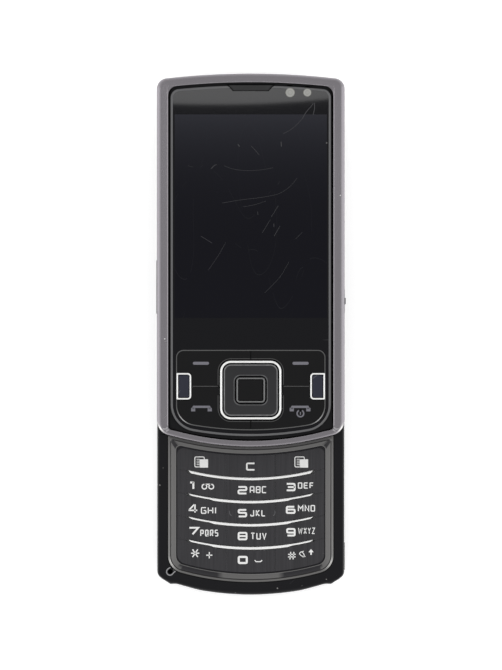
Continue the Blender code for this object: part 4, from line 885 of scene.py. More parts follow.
# The deck's trim line gets a painted highlight near its tail corners.
MARK_DIM = Finish(
    "fine_grey_line", "key_black", (0.09, 0.09, 0.09), 0.4, tone=0.15, painted_rim_tint=1.0,
    painted_rim_colour=(0.42, 0.42, 0.42),
)
MARK_FAINT = Finish("faint_grey_line", "key_black", (0.06, 0.06, 0.06), 0.4, tone=0.15)
EAR_GREY = Finish("ear_mesh", "satin_black", (0.035, 0.035, 0.036), 0.5, specular=0.2)
# Near black with no gloss: painted shade that stands for the inside of a hole.
HOLE_SHADE = Finish("painted_hole_shade", "satin_black", (0.0006, 0.0006, 0.0006), 0.8, specular=0.0)
WORN_GREY = Finish("worn_edge", "gloss_black", (0.27, 0.27, 0.28), 0.4, tone=0.5, tone_scale=900.0)
# A pale silver for the painted highlights on the frame's mitred facets.
FACET_HIGHLIGHT_SILVER = Finish("facet_highlight_silver", "silver_frame", (0.44, 0.43, 0.45), 0.32, 0.9, tone=0.3)
SCRATCH_GREY = Finish("scratched_coat", "window_glass", (0.037, 0.037, 0.041), 0.4, tone=1.2)
MARK_WHITE = Finish("printed_white", "brushed_plate", (0.84, 0.84, 0.83), 0.45, tone=0.05)
CRESCENT = Finish("touch_mark", "brushed_plate", (0.085, 0.085, 0.09), 0.45, tone=0.05)
CLEAR_WINDOW = Finish(
    "rear_window", "clear_window", (0.02, 0.02, 0.024), 0.04, specular=0.5, scratches=0.08
)
BOARD_GREEN = Finish("solder_mask", "board_green", (0.02, 0.12, 0.05), 0.4, tone=0.2)
SILICONE = Finish("grey_silicone", "silicone", (0.42, 0.42, 0.42), 0.6, grain=0.2)
STEEL = Finish(
    "rolled_steel", "steel", (0.5, 0.5, 0.51), 0.28, 1.0, brush=Brush.ALONG, brush_amount=0.2
)
SPRING_STEEL = Finish("drawn_wire", "spring_steel", (0.4, 0.4, 0.41), 0.3, 1.0)
BATTERY_GREY = Finish("wrapped_cell", "battery_grey", (0.22, 0.23, 0.25), 0.45, tone=0.08)
FLEX_AMBER = Finish("amber_film", "flex_amber", (0.4, 0.16, 0.03), 0.35, tone=0.15)

NODE_FINISHES: dict[str, Finish] = {
    finish.slot: finish
    for finish in (
        GLOSS_BLACK, SATIN_BLACK, FRAME_SILVER, BEZEL_SILVER, BRIGHT_METAL, BRUSHED_PLATE,
        WINDOW_GLASS, KEY_BLACK, NAV_GREY, TAB_BLUE, LENS_GREY, CLEAR_WINDOW, BOARD_GREEN,
        SILICONE, STEEL, SPRING_STEEL, BATTERY_GREY, FLEX_AMBER, DISPLAY_DARK,
    )
}


# Pieces


def link(name: str, data: bpy.types.ID) -> bpy.types.Object:
    """Makes an object of a mesh, a lamp or a camera, and links it to the scene."""
    made = bpy.data.objects.new(name, data)
    bpy.context.scene.collection.objects.link(made)
    return made


def coat(mesh: bpy.types.Mesh, finish: Finish) -> None:
    """Gives a mesh one finish."""
    mesh.materials.clear()
    mesh.materials.append(finish.material())


def carry(
    name: str, mesh: bpy.types.Mesh, finish: Finish, body: str, nodes: Sequence[str]
) -> bpy.types.Object:
    """Makes a piece of a mesh and lets it ride on a body in place of CAD nodes.

    Args:
        name: the piece's name.
        mesh: its mesh.
        finish: its finish.
        body: the body that carries it.
        nodes: the CAD nodes that it replaces.

    Returns:
        The piece.
    """
    coat(mesh, finish)
    piece = link(name, mesh)
    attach(piece, body)
    if nodes:
        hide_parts(*nodes)
    LOG.info("%s rides %s", name, body)
    return piece


def add_piece(
    name: str,
    shell: Shell,
    finish: Finish,
    body: str,
    stands_for: Sequence[str] = (),
    lift: float = 0.0,
) -> bpy.types.Object:
    """Makes a piece of a shell, moved up +Y by its lift, and lets it ride on a body."""
    return carry(name, shell.mesh(name, lift), finish, body, stands_for)


def smooth_copy(name: str, node: str, finish: Finish, body: str) -> None:
    """Makes a copy of a CAD node with its seams merged and its curves shaded smooth.

    Args:
        name: the piece's name.
        node: the CAD node.
        finish: its finish.
        body: the body that carries it.
    """
    mesh = frame["nodes"][node].data.copy()
    mesh.name = name
    tidy_mesh(mesh)
    weigh_normals(mesh)
    carry(name, mesh, finish, body, (node,))


def dress_nodes() -> None:
    """Gives every CAD node the finish of its material slot."""
    for part in frame["record"]["subparts"]:
        coat(frame["nodes"][part["node"]].data, NODE_FINISHES[part["material_slot"]])


# Shared outlines

TRAVEL = -[joint for joint in frame["joints"] if joint["name"] == "slide"][0]["range_m"][0]
BODY = Plan(0.02695, -0.0535, 0.0535, 0.0862, 0.214, 0.003, 0.003)
BEZEL = Plan(0.02378, -0.0503, -0.0113, 0.0747, -0.0865, 0.005, 0.0003)
SEAT_GAP = 0.0003
KEY_GAP = 0.0002
DECK_GROOVE = 0.00035
BASE_TOP = 0.0092
SLIDER_TOP = 0.0172
GLASS_TOP = 0.017
SHEET_LIFT = 0.000008
TAIL_FROM = -0.045


def crowned(
    loop: Callable[[float, float], Array],
    band: float,
    crown: float,
    base: float,
    top: float,
    steps: int,
) -> Shell:
    """A frame of one width with upright sides and a half-round top.

    Formula: at angle a the loop has moved in by half the width times one less cos a, and lies
    the crown's height times one less sin a below the top.

    Args:
        loop: gives the frame's loop at a growth and a height.
        band: the frame's width.
        crown: height of its round top.
        base: height of its foot.
        top: height of its top.
        steps: how many loops lie over the top.

    Returns:
        The frame, with its top as its rim.
    """
    turns = np.linspace(0, math.pi, steps)
    half, foot = band / 2, top - crown
    rows = [loop(-band, base), loop(0.0, base)]
    rows += [loop(-half + half * math.cos(a), foot + crown * math.sin(a)) for a in turns]
    return Shell().grid(rows, closed=True, rims=[0.0, 0.0] + [TRIM_WEAR] * steps)


def add_upper(
    name: str, shell: Shell, finish: Finish, node: str = "", body: str = "slider"
) -> bpy.types.Object:
    """Makes a piece of the upper half, in place of a CAD node, lifted up by the travel."""
    return add_piece(name, shell, finish, body, (node,) if node else (), TRAVEL)


@dataclass
class SliderFrame:
    """The bevelled silver frame round the upper half."""

    bottom: float = 0.0109
    side: float = 0.0032
    tail: float = 0.00172
    tail_out: float = 0.00022
    tail_radius: float = 0.0845
    tail_corner: float = 0.0047
    head: float = 0.0025
    foot_inset: float = 0.0001
    foot_height: float = 0.001
    round_height: float = 0.0009
    round_share: float = 0.45
    round_steps: int = 12
    slope: float = 0.0001
    lip: float = 0.00018
    lip_run: float = 2.4
    lip_highlight_and_wear: float = 0.02
    inner_corner: float = 0.0006
    head_corner: float = 0.0028
    # Where and how far the painted highlight on the outer edge's tail corners reaches.
    shine_at: Pair = (0.0262, -0.0486)
    shine_reach: float = 0.0012
    shine_share: float = 0.2
    facet_width: float = 0.00045
    facet_bend: float = 0.0004
    facet_lift: float = 0.00001
    # Strokes of painted highlight on the mitred facets in the frame's tail corners, in millimetres.
    facets: tuple[Pairs, ...] = (
        ((25.3, -48.45), (24.5, -48.65), (24.2, -48.45), (23.85, -48.05)),
        ((24.35, -49.2), (23.55, -48.72)),
    )
    speck_width: float = 0.0003
    speck_drop: float = 0.00002
    specks: tuple[Pairs, ...] = (((-24.75, -22.6), (-24.6, -22.8)), ((25.6, 18.5), (25.8, 18.45)))

    def inset(self, share: float) -> Plan:
        """The frame's outline, a share of the way from its outer to its inner edge."""
        low = BODY.low - self.tail_out
        outer = replace(BODY, low=low, low_radius=self.tail_radius, low_corner=self.tail_corner)
        return outer.inset(self.side * share, self.tail * share, self.head * share, self.inner_corner)

    def loop(self, share: float, z: float) -> Array:
        """One loop round the frame, at a share of its width and a height."""
        return self.inset(share).at(z)

    def opening(self) -> Plan:
        """The frame's inner edge."""
        inner = self.inset(1.0)
        return replace(inner, low_corner=self.inner_corner, high_corner=self.head_corner)

    def shine(self, share: float) -> Array:
        """How much rim each point of a loop gets: a painted highlight, with some rubbed wear, at the outer edge's
        tail corners.
        """
        bright = glow(self.inset(share).loop(), self.shine_at, self.shine_reach)
        return bright * (share < self.shine_share)

    def build(self) -> None:
        """The frame: loops up the outer wall, over the round edge, across and down inside."""
        lip = self.lip / self.side
        top = SLIDER_TOP - self.slope
        rows = [
            self.opening().at(self.bottom),
            self.loop(self.foot_inset / self.side, self.bottom),
            self.loop(0, self.bottom + self.foot_height),
        ]
        rims = [0.0, 0.0, 0.0]
        for drop, share in reversed(quarter(self.round_height, self.round_share, self.round_steps)):
            rows.append(self.loop(share, top - drop))
            rims.append(self.shine(share))
        rows += [
            self.loop(1 - self.lip_run * lip, SLIDER_TOP - self.slope / 8),
            self.loop(1 - 2 * lip, SLIDER_TOP),
            self.loop(1 - lip, SLIDER_TOP),
            self.opening().at(top),
        ]
        # The inner lip gets a painted highlight and some rubbed wear.
        rims += [0.0, self.lip_highlight_and_wear, self.lip_highlight_and_wear, 0.0]
        shell = Shell().grid(rows, closed=True, rims=rims)
        add_upper("frame_ring", shell, FRAME_SILVER, "slider_frame")
        self.build_marks()

    def build_marks(self) -> None:
        """Painted highlights on the mitred facets in the tail corners of the frame, and two specks of wear."""
        ink, specks = Ink(SLIDER_TOP + self.facet_lift), Ink(SLIDER_TOP - self.speck_drop)
        for side in (-1, 1):
            for facet in self.facets:
                path = np.array(facet) / MM_PER_M * np.array((side, 1))
                ink.stroke(soften(path, self.facet_bend, False), self.facet_width)
        for speck in self.specks:
            specks.stroke(np.array(speck) / MM_PER_M, self.speck_width)
        add_upper("frame_facet_highlights", ink.shell, FACET_HIGHLIGHT_SILVER)
        add_upper("frame_specks", specks.shell, MARK_WHITE)


@dataclass
class Window:
    """The hard-coated window, the display behind it and what shows at its head."""

    gap_side: float = 0.00077
    gap_tail: float = 0.0014
    gap_head: float = 0.001
    tail_radius: float = 0.0963
    tail_corner: float = 0.00775
    head_corner: float = 0.0024
    thickness: float = 0.0009
    bevel: float = 0.0006
    bevel_drop: float = 0.00025
    join_above_deck: float = 0.003
    scratch_bend: float = 0.002
    slot_high: float = 0.0501
    slot_height: float = 0.0015
    slot_top_half: float = 0.00624
    slot_low_half: float = 0.00494
    slot_corner: float = 0.0001
    slot_floor: float = 0.0003
    slot_bars: int = 9
    slot_bar_half: Pair = (0.00012, 0.0001)
    slot_bar_gap: float = 0.0002
    slot_bends: Pair = (0.00609, 0.00666)
    display_low: float = -0.0167
    display_high: float = 0.04172
    display_half: float = 0.02185
    display_corner: float = 0.0001
    display_depth: float = 0.0001
    lens_y: float = 0.048
    lens_x: float = 0.0113
    lens_radius: float = 0.00133
    sensor_x: float = 0.01624
    sensor_radius: float = 0.00115
    lens_profile: tuple[tuple[float, float, float], ...] = (
        (1.0, -0.0009, 1.0), (1.0, 0.0, 1.0), (0.93, 0.00003, 1.0), (0.8, 0.00005, 0.0),
        (0.6, 0.00006, 0.0), (0.52, 0.00003, 0.8), (0.35, 0.00006, 0.2), (0.15, 0.00007, 0.2),
    )

    def outline(self) -> Plan:
        """The window's outer edge."""
        plan = SliderFrame().opening().inset(self.gap_side, self.gap_tail, self.gap_head)
        corners = {"low_corner": self.tail_corner, "high_corner": self.head_corner}
        return replace(plan, low_radius=self.tail_radius, **corners)

    def slot_loop(self) -> Array:
        """The earpiece slot as x and y: a rectangle that grows evenly wider towards the head."""
        low = self.slot_high - self.slot_height
        corners = {"low_corner": self.slot_corner, "high_corner": self.slot_corner}
        loop = Plan(1.0, low, self.slot_high, **corners).loop()
        share = (loop[:, 1] - low) / self.slot_height
        loop[:, 0] *= self.slot_low_half + (self.slot_top_half - self.slot_low_half) * share
        return loop

    def notch(self, loop: Array, z: float) -> Array:
        """A loop of the window, cut back round the earpiece slot.

        Formula: the head end's height is held under a line that is level below the slot and
        rises along the slot's slanted sides.

        Args:
            loop: rows of x and y.
            z: height of the loop.

        Returns:
            Rows of x, y and z.
        """
        rise = self.slot_height / (self.slot_top_half - self.slot_low_half)
        low = self.slot_high - self.slot_height - KEY_GAP
        past = np.abs(loop[:, 0]) - self.slot_low_half - KEY_GAP
        roof = low + np.maximum(past, 0) * rise
        flat = loop.copy()
        flat[:, 1] = np.where(flat[:, 1] > low, np.minimum(flat[:, 1], roof), flat[:, 1])
        return at_height(flat, z)

    def build(self, deck: Plan) -> None:
        """Builds the window as an edge, a part round the key deck and a part above it.

        Args:
            deck: outline of the key deck.
        """
        marks = (self.slot_low_half + KEY_GAP, *self.slot_bends)
        outer = replace(self.outline(), marks=marks)
        inner = outer.inset(self.bevel)
        hole = replace(deck.inset(-DECK_GROOVE / 2), marks=marks)
        join = deck.high + self.join_above_deck
        lower = inner.below(join)
        head = slice(inner.half_count(), 3 * inner.half_count() - 1)
        top, bottom = GLASS_TOP, GLASS_TOP - self.thickness
        shell = Shell()
        for z in (top, bottom):
            shell.grid((lower.at(z), hole.at(z)))
            upper = self.notch(inner.loop()[head], z)
            shell.grid((lower.at(z)[head], upper), around=False)
        steps = ((inner, top), (outer, top - self.bevel_drop), (outer, bottom), (inner, bottom))
        edge = [self.notch(plan.with_sides(join), z) for plan, z in steps]
        # The bevel's rows count as rims: a painted highlight on the window's edge.
        shell.grid(edge, rims=(1.0, 1.0, 0.0, 0.0))
        shell.grid((hole.at(top), hole.at(bottom)))
        add_upper("window_pane", shell, WINDOW_GLASS, "front_window")
        self.build_display()
        self.build_slot()
        self.build_lens("front_lens", "front_camera", self.lens_x, self.lens_radius)
        self.build_lens("sensor_lens", "light_sensor", self.sensor_x, self.sensor_radius)
        self.build_scratches()

    def build_scratches(self) -> None:
        """Hair-fine scratches in the window's face."""
        ink = Ink(GLASS_TOP + SHEET_LIFT)
        for width, path in SCRATCHES:
            bent = soften(np.array(path) / MM_PER_M, self.scratch_bend, False)
            ink.stroke(bent, width / MM_PER_M)
        add_upper("window_scratches", ink.shell, SCRATCH_GREY)

    def build_display(self) -> None:
        """The switched-off display, as a sheet at the window's face."""
        middle = (self.display_low + self.display_high) / 2
        half = (self.display_high - self.display_low) / 2
        loop = rounded(self.display_half, half, self.display_corner)
        low, high = GLASS_TOP - self.display_depth, GLASS_TOP + SHEET_LIFT
        piece = add_upper("display_sheet", Shell().slab(loop, low, high, (0, middle)), DISPLAY_DARK)
        # Painted sheen: the display is made paler towards the head.
        paint_head_light(piece.data.materials[0], self.display_low + TRAVEL, self.display_high + TRAVEL)

    def build_slot(self) -> None:
        """The earpiece's mouth: a floor in the slot with fine bars across it."""
        floor = GLASS_TOP - self.slot_floor
        shell = Shell().slab(self.slot_loop(), GLASS_TOP - self.thickness, floor)
        middle = self.slot_high - self.slot_height / 2
        pitch = 2 * self.slot_low_half / (self.slot_bars + 1)
        width, height = self.slot_bar_half
        bar = rounded(width, self.slot_height / 2 - self.slot_bar_gap, height)
        for k in range(self.slot_bars):
            x = (k - (self.slot_bars - 1) / 2) * pitch
            shell.slab(bar, floor - height, floor + height, (x, middle))
        add_upper("ear_mouth", shell, EAR_GREY, "earpiece")

    def build_lens(self, name: str, node: str, x: float, radius: float) -> None:
        """A low round lens in its ring: circles whose sizes and heights follow the profile.

        Args:
            name: the piece's name.
            node: the CAD node that it replaces.
            x: its place across.
            radius: its radius.
        """
        centre = (x, self.lens_y)
        loops = [at_height(circle(radius * s), GLASS_TOP + z, centre) for s, z, _ in self.lens_profile]
        rims = [rim for _, _, rim in self.lens_profile]
        add_upper(name, Shell().solid(loops, rims), LENS_GREY, node)


def paint_head_light(material: bpy.types.Material, low: float, high: float) -> None:
    """Paints light into a finish: a painted sheen that makes it a little paler towards the head, as the fifth
    power of the height.

    Args:
        material: the finish's material.
        low: where it starts along Y.
        high: where it is palest.
    """
    shader = material.node_tree.nodes["Principled BSDF"]
    tree = Tree(material.node_tree)
    place = tree.add("SeparateXYZ", {0: tree.place()}).outputs["Y"]
    rise = tree.add("MapRange", {"Value": place, "From Min": low, "From Max": high}).outputs[0]
    rise = tree.math("POWER", rise, DISPLAY_LIGHT_POWER)
    dark = shader.inputs["Base Color"].links[0].from_socket
    tree.feed(shader.inputs["Base Color"], tree.blend(rise, dark, DISPLAY_PAINTED_LIGHT))


# Width of each scratch, then its points, in millimetres of the upper half's own frame
SCRATCHES: tuple[tuple[float, Pairs], ...] = (
    (0.16, ((14.8, 40.5), (15.9, 42.5), (17.4, 44.1), (17.9, 44.9))),
    (0.2, ((18.2, 45.1), (18.4, 43.6), (17.9, 41.6))),
    (0.08, ((14.8, 40.5), (13.0, 38.5), (11.0, 37.0), (9.3, 36.2))),
    (0.22, ((-3.7, 33.2), (-3.2, 32.5))),
    (0.22, ((8.7, 33.9), (8.8, 32.5))),
    (0.14, ((-11.4, 26.1), (-10.5, 27.1), (-9.8, 27.3))),
    (0.1, ((0.1, 32.7), (1.2, 31.6), (2.4, 30.1))),
    (0.07, ((-7.6, 27.0), (-5.3, 26.0), (-1.0, 25.5), (3.3, 25.8), (6.4, 26.4))),
    (0.07, ((-8.2, 16.3), (-3.0, 17.2), (3.3, 17.9), (8.4, 18.9), (11.6, 21.2), (13.3, 23.5))),
    (0.06, ((-2.2, 15.2), (1.3, 15.8), (4.4, 16.9))),
    (0.1, ((5.9, 12.3), (7.9, 15.5))),
    (0.08, ((3.3, 7.7), (5.6, 11.5))),
    (0.1, ((6.7, 6.8), (8.4, 9.7))),
    (0.09, ((-14.3, 6.8), (-11.1, 4.8))),
    (0.06, ((-18.0, 27.0), (-16.6, 26.6))),
    (0.07, ((12.9, 6.0), (14.8, 7.9))),
    (0.12, ((2.0, 13.8), (2.05, 12.9))),
    (0.12, ((6.6, 10.4), (6.65, 9.4))),
    (0.06, ((-12.2, -3.0), (-9.0, 1.6), (-7.2, 5.0))),
    (0.06, ((4.0, -9.5), (8.5, -5.0), (11.0, -0.5))),
)


@dataclass
class KeyDeck:
    """The deck of function keys: its trim lines, side keys, navigation key and marks."""

    margin: float = 0.00245
    tail_margin: float = 0.0032
    length: float = 0.0228
    tail_radius: float = 0.099
    tail_corner: float = 0.0057
    head_corner: float = 0.002
    trim_drop: float = 0.00006
    trim_depth: float = 0.0004
    trim_gap: float = 0.00004
    # Where and how far the trim line's painted highlight reaches.
    shine_at: Pair = (0.0197, -0.0457)
    shine_reach: float = 0.0019
    divider_y: float = -0.0363
    divider_ends: Pair = (0.0094, 0.0167)
    divider_gap: float = 0.00002
    foil: float = 0.01541
    foil_thickness: float = 0.00003
    foil_inset: float = 0.0003
    nav_y: float = -0.0374
    nav_half: Pair = (0.00879, 0.00841)
    nav_corner: float = 0.0031
    nav_band: float = 0.0006
    nav_crown: float = 0.00025
    nav_steps: int = 13
    nav_proud: float = 0.0002
    nav_base: float = 0.0157
    nav_line: float = 0.0006
    line_end: float = 0.0015
    line_width: float = 0.00016
    ring_gap: float = 0.00045
    ring_band: Pair = (0.00312, 0.00326)
    ring_corner: float = 0.002
    ring_edge: float = 0.0002
    ring_dish: float = 0.0003
    dish_run: float = 1.6
    ring_lift: float = 0.0001
    ring_low: float = 0.016
    select_gap: float = 0.00054
    select_band: float = 0.0004
    select_corner: float = 0.0009
    select_proud: float = 0.0001
    select_flat: float = 0.7
    select_drops: Pair = (0.00012, 0.0001)
    tab_width: float = 0.0042
    tab_length: float = 0.0076
    tab_band: float = 0.00044
    tab_crown: float = 0.00018
    tab_corner: float = 0.001
    tab_outer_corner: float = 0.0002
    tab_proud: float = 0.00015
    key_low: float = 0.0159
    cap_bevel: float = 0.0001
    dash_y: float = -0.0297
    dash_ends: Pair = (0.0124, 0.0162)
    dash_width: float = 0.00085
    handset_x: float = 0.01415
    handset_half: float = 0.00238
    handset_flare: float = 0.0001
    handset_bend: float = 0.0002
    handset_ys: Pair = (-0.0427, -0.0422)
    handset_width: float = 0.00064
    foot_ys: Pair = (-0.0425, -0.0435)
    foot_width: float = 0.00118
    power_at: Pair = (0.0001, -0.0441)
    power_radius: float = 0.00095
    power_turns: Pair = (0.35, 2.65)
    power_steps: int = 40
    power_width: float = 0.00038
    power_bar_half: float = 0.0004
    power_bar_width: float = 0.0003

    def outline(self) -> Plan:
        """The deck's outer edge."""
        opening = SliderFrame().opening()
        low = opening.low + self.tail_margin
        return Plan(
            opening.half_width - self.margin, low, low + self.length, self.tail_radius, 0.0,
            self.tail_corner, self.head_corner,
        )

    def nav(self, half: Array, grow: float, corner: float, z: float) -> Array:
        """A rounded square loop round the navigation key's centre, its half sizes grown."""
        return at_height(rounded(*(half + grow), corner), z, (0, self.nav_y))

    def nav_ring(self, steps: Sequence[tuple[Array, float, float, float, float]]) -> Shell:
        """A ring of loops, each given as for nav, with how far it counts as an edge after that."""
        rows = [self.nav(*step[:4]) for step in steps]
        return Shell().grid(rows, closed=True, rims=[step[4] for step in steps])

    def build(self) -> None:
        """Builds everything on the deck that the CAD keys don't already give."""
        self.build_trim()
        self.build_side_keys()
        self.build_nav()
        self.build_select()
        self.build_lines()
        self.build_handsets()

    def build_trim(self) -> None:
        """Fine grey lines in the deck's groove and between its keys, and the foil under them."""
        plan = self.outline()
        high = GLASS_TOP - self.trim_drop
        low = high - self.trim_depth
        width = DECK_GROOVE / 2 - self.trim_gap
        rows = [plan.inset(s * width).at(z) for s, z in ((-1, low), (1, low), (1, high), (-1, high))]
        # Painted highlight on the trim line near the deck's tail corners.
        bright = glow(rows[2], self.shine_at, self.shine_reach)
        shell = Shell().grid(rows, closed=True, rims=(0.0, 0.0, bright, bright))
        near, far = self.divider_ends
        bar = rounded((far - near) / 2, KEY_GAP / 2 - self.divider_gap, self.divider_gap)
        for side in (-1, 1):
            shell.slab(bar, low, high, (side * (near + far) / 2, self.divider_y))
        add_upper("deck_trim", shell, MARK_DIM)
        sheet = plan.inset(self.foil_inset).loop()
        foil = Shell().slab(sheet, self.foil, self.foil + self.foil_thickness)
        add_upper("dome_foil", foil, SATIN_BLACK)

    def tab(self, side: int, grow: float, z: float) -> Array:
        """A loop of a side key, nearly square on its outer side.

        Args:
            side: -1 for the left key, 1 for the right one.
            grow: how far it stands out all round.
            z: its height.

        Returns:
            Rows of x, y and z.
        """
        corner = max(self.tab_corner + grow, self.tab_outer_corner)
        pair = (self.tab_outer_corner, corner) if side > 0 else (corner, self.tab_outer_corner)
        loop = rounded(self.tab_width / 2 + grow, self.tab_length / 2 + grow, *pair)
        centre = (side * (self.outline().half_width - self.tab_width / 2), self.divider_y)
        return at_height(loop, z, centre)

    def build_side_keys(self) -> None:
        """Each side key: a bright frame with a round top, and a blue-black cap inside it."""
        top, bevel = GLASS_TOP + self.tab_proud, self.cap_bevel
        grow = -self.tab_band - KEY_GAP
        for side, word in ((-1, "left"), (1, "right")):
            tab = partial(self.tab, side)
            shell = crowned(tab, self.tab_band, self.tab_crown, self.nav_base, top, HALF_ROUND_STEPS)
            add_upper(f"tab_frame_{word}", shell, BRIGHT_METAL, f"side_key_frame_{word}")
            rows = [tab(grow, self.key_low), tab(grow, GLASS_TOP - bevel), tab(grow - bevel, GLASS_TOP)]
            cap, node = Shell().solid(rows, (0, TRIM_WEAR, TRIM_WEAR)), f"side_key_{word}"
            add_upper(f"tab_cap_{word}", cap, TAB_BLUE, node, f"{node}_body")

    def build_nav(self) -> None:
        """The navigation key's bright half-round frame, and the dished ring inside it."""
        half = np.array(self.nav_half)

        def rim(grow: float, z: float) -> Array:
            """The bright frame's loop at a growth and a height."""
            return self.nav(half, grow, self.nav_corner + grow, z)

        top = GLASS_TOP + self.nav_proud
        shell = crowned(rim, self.nav_band, self.nav_crown, self.nav_base, top, self.nav_steps)
        add_upper("nav_rim", shell, BRIGHT_METAL, "nav_frame")
        ring, hole = self.ring_halves()
        edge, corner = self.ring_edge, self.ring_corner
        high = GLASS_TOP + self.ring_lift
        dish = high - self.ring_dish
        # The rim values give the dish's edges a painted highlight and some rubbed wear.
        steps = (
            (hole, 0.0, corner - edge, self.ring_low, 0.0),
            (ring, 0.0, corner, self.ring_low, 0.0),
            (ring, 0.0, corner, high - edge, 0.5),
            (ring, -edge / 2, corner - edge / 2, high - edge / 4, 1.0),
            (ring, -edge, corner - edge, high, 1.0),
            (ring, -2 * edge, corner - edge, high - edge / 3, 0.0),
            (hole, self.dish_run * edge, corner - edge, dish, 0.0),
            (hole, edge, corner - edge, dish, 0.7),
            (hole, edge / 2, corner - edge, dish - edge / 4, 0.7),
            (hole, 0.0, corner - edge, dish - edge, 0.0),
        )
        add_upper("nav_dish", self.nav_ring(steps), NAV_GREY, "nav_ring", "nav_ring_body")

    def ring_halves(self) -> tuple[Array, Array]:
        """Half widths and half lengths of the dished ring's outer edge and of its hole."""
        ring = np.array(self.nav_half) - self.nav_band - self.ring_gap
        return ring, ring - np.array(self.ring_band)

    def build_select(self) -> None:
        """The select key and its frame, in the navigation ring's hole."""
        outer = self.ring_halves()[1] - self.select_gap
        band, corner = self.select_band, self.select_corner
        top = GLASS_TOP + self.select_proud
        outer_drop, inner_drop = self.select_drops
        flat = self.select_flat * band
        # The rim values give the select frame's top a painted highlight and some rubbed wear.
        steps = (
            (outer, -band, corner - band, self.nav_base, 0.0),
            (outer, 0.0, corner, self.nav_base, 0.0),
            (outer, 0.0, corner, top - outer_drop, 0.6),
            (outer, -band / 3, corner - band / 3, top, 1.0),
            (outer, -flat, corner - flat, top, 1.0),
            (outer, -band, corner - band, top - inner_drop, 0.6),
        )
        add_upper("select_rim", self.nav_ring(steps), SELECT_SILVER, "select_frame")
        key = outer - band - KEY_GAP
        levels = ((0.0, self.key_low), (0.0, GLASS_TOP - self.cap_bevel), (-self.cap_bevel, GLASS_TOP))
        rows = [self.nav(key, grow, corner - band, z) for grow, z in levels]
        add_upper("select_cap", Shell().solid(rows), KEY_BLACK, "select_key", "select_key_body")

    def corner_line(self, side: int, up: int) -> Array:
        """A quarter of the fine line round the navigation key, on one of the keys beside it.

        Args:
            side: -1 for the left, 1 for the right.
            up: 1 for the upper half, -1 for the lower one.

        Returns:
            Rows of x and y, from the line's level part to its upright part.
        """
        half = np.array(self.nav_half) + self.nav_line
        loop = rounded(*half, self.nav_corner + self.nav_line)
        corner = loop[(loop[:, 0] > 0) & (loop[:, 1] > 0)]
        corner = corner[np.argsort(np.arctan2(-corner[:, 0], corner[:, 1]))][::-1]
        ends = ((KEY_GAP, corner[0, 1]), (corner[-1, 0], self.line_end))
        path = np.vstack((ends[0], corner, ends[1]))
        return path * np.array((side, up)) + np.array((0.0, self.nav_y))

    def build_lines(self) -> None:
        """A dash on each soft key, and the fine line on the four keys round the ring."""
        for side, word, lower in ((-1, "left", "call_key"), (1, "right", "end_key")):
            ink = Ink(GLASS_TOP)
            dash = np.array([(side * x, self.dash_y) for x in self.dash_ends])
            ink.stroke(dash, self.dash_width, ends=True)
            add_upper(f"dash_{word}", ink.shell, MARK_GREY, body=f"soft_key_{word}_body")
            for up, key in ((1, f"soft_key_{word}"), (-1, lower)):
                ink = Ink(GLASS_TOP)
                ink.stroke(self.corner_line(side, up), self.line_width)
                add_upper(f"{key}_line", ink.shell, MARK_FAINT, body=f"{key}_body")

    def build_handsets(self) -> None:
        """A handset on the call and end keys, with a broken ring and a bar under the second."""
        half, (low, high) = self.handset_half, self.handset_ys
        wide, narrow = half + self.handset_flare, half - self.handset_bend
        hump = np.array(((-wide, low), (-narrow, high), (narrow, high), (wide, low)))
        for side, key in ((-1, "call"), (1, "end")):
            ink = Ink(GLASS_TOP)
            middle = np.array((side * self.handset_x, 0.0))
            ink.stroke(hump + middle, self.handset_width)
            for end in (-1, 1):
                foot = np.array([(end * half, y) for y in self.foot_ys])
                ink.stroke(foot + middle, self.foot_width)
            if key == "end":
                first, last = self.power_turns
                turns = np.linspace(first * math.pi, last * math.pi, self.power_steps)
                centre = middle + np.array(self.power_at)
                ink.stroke(on_circle(turns) * self.power_radius + centre, self.power_width)
                bar = np.array(((0.0, self.power_bar_half), (0.0, -self.power_bar_half)))
                ink.stroke(bar + centre, self.power_bar_width)
            add_upper(f"{key}_mark", ink.shell, MARK_GREY, body=f"{key}_key_body")


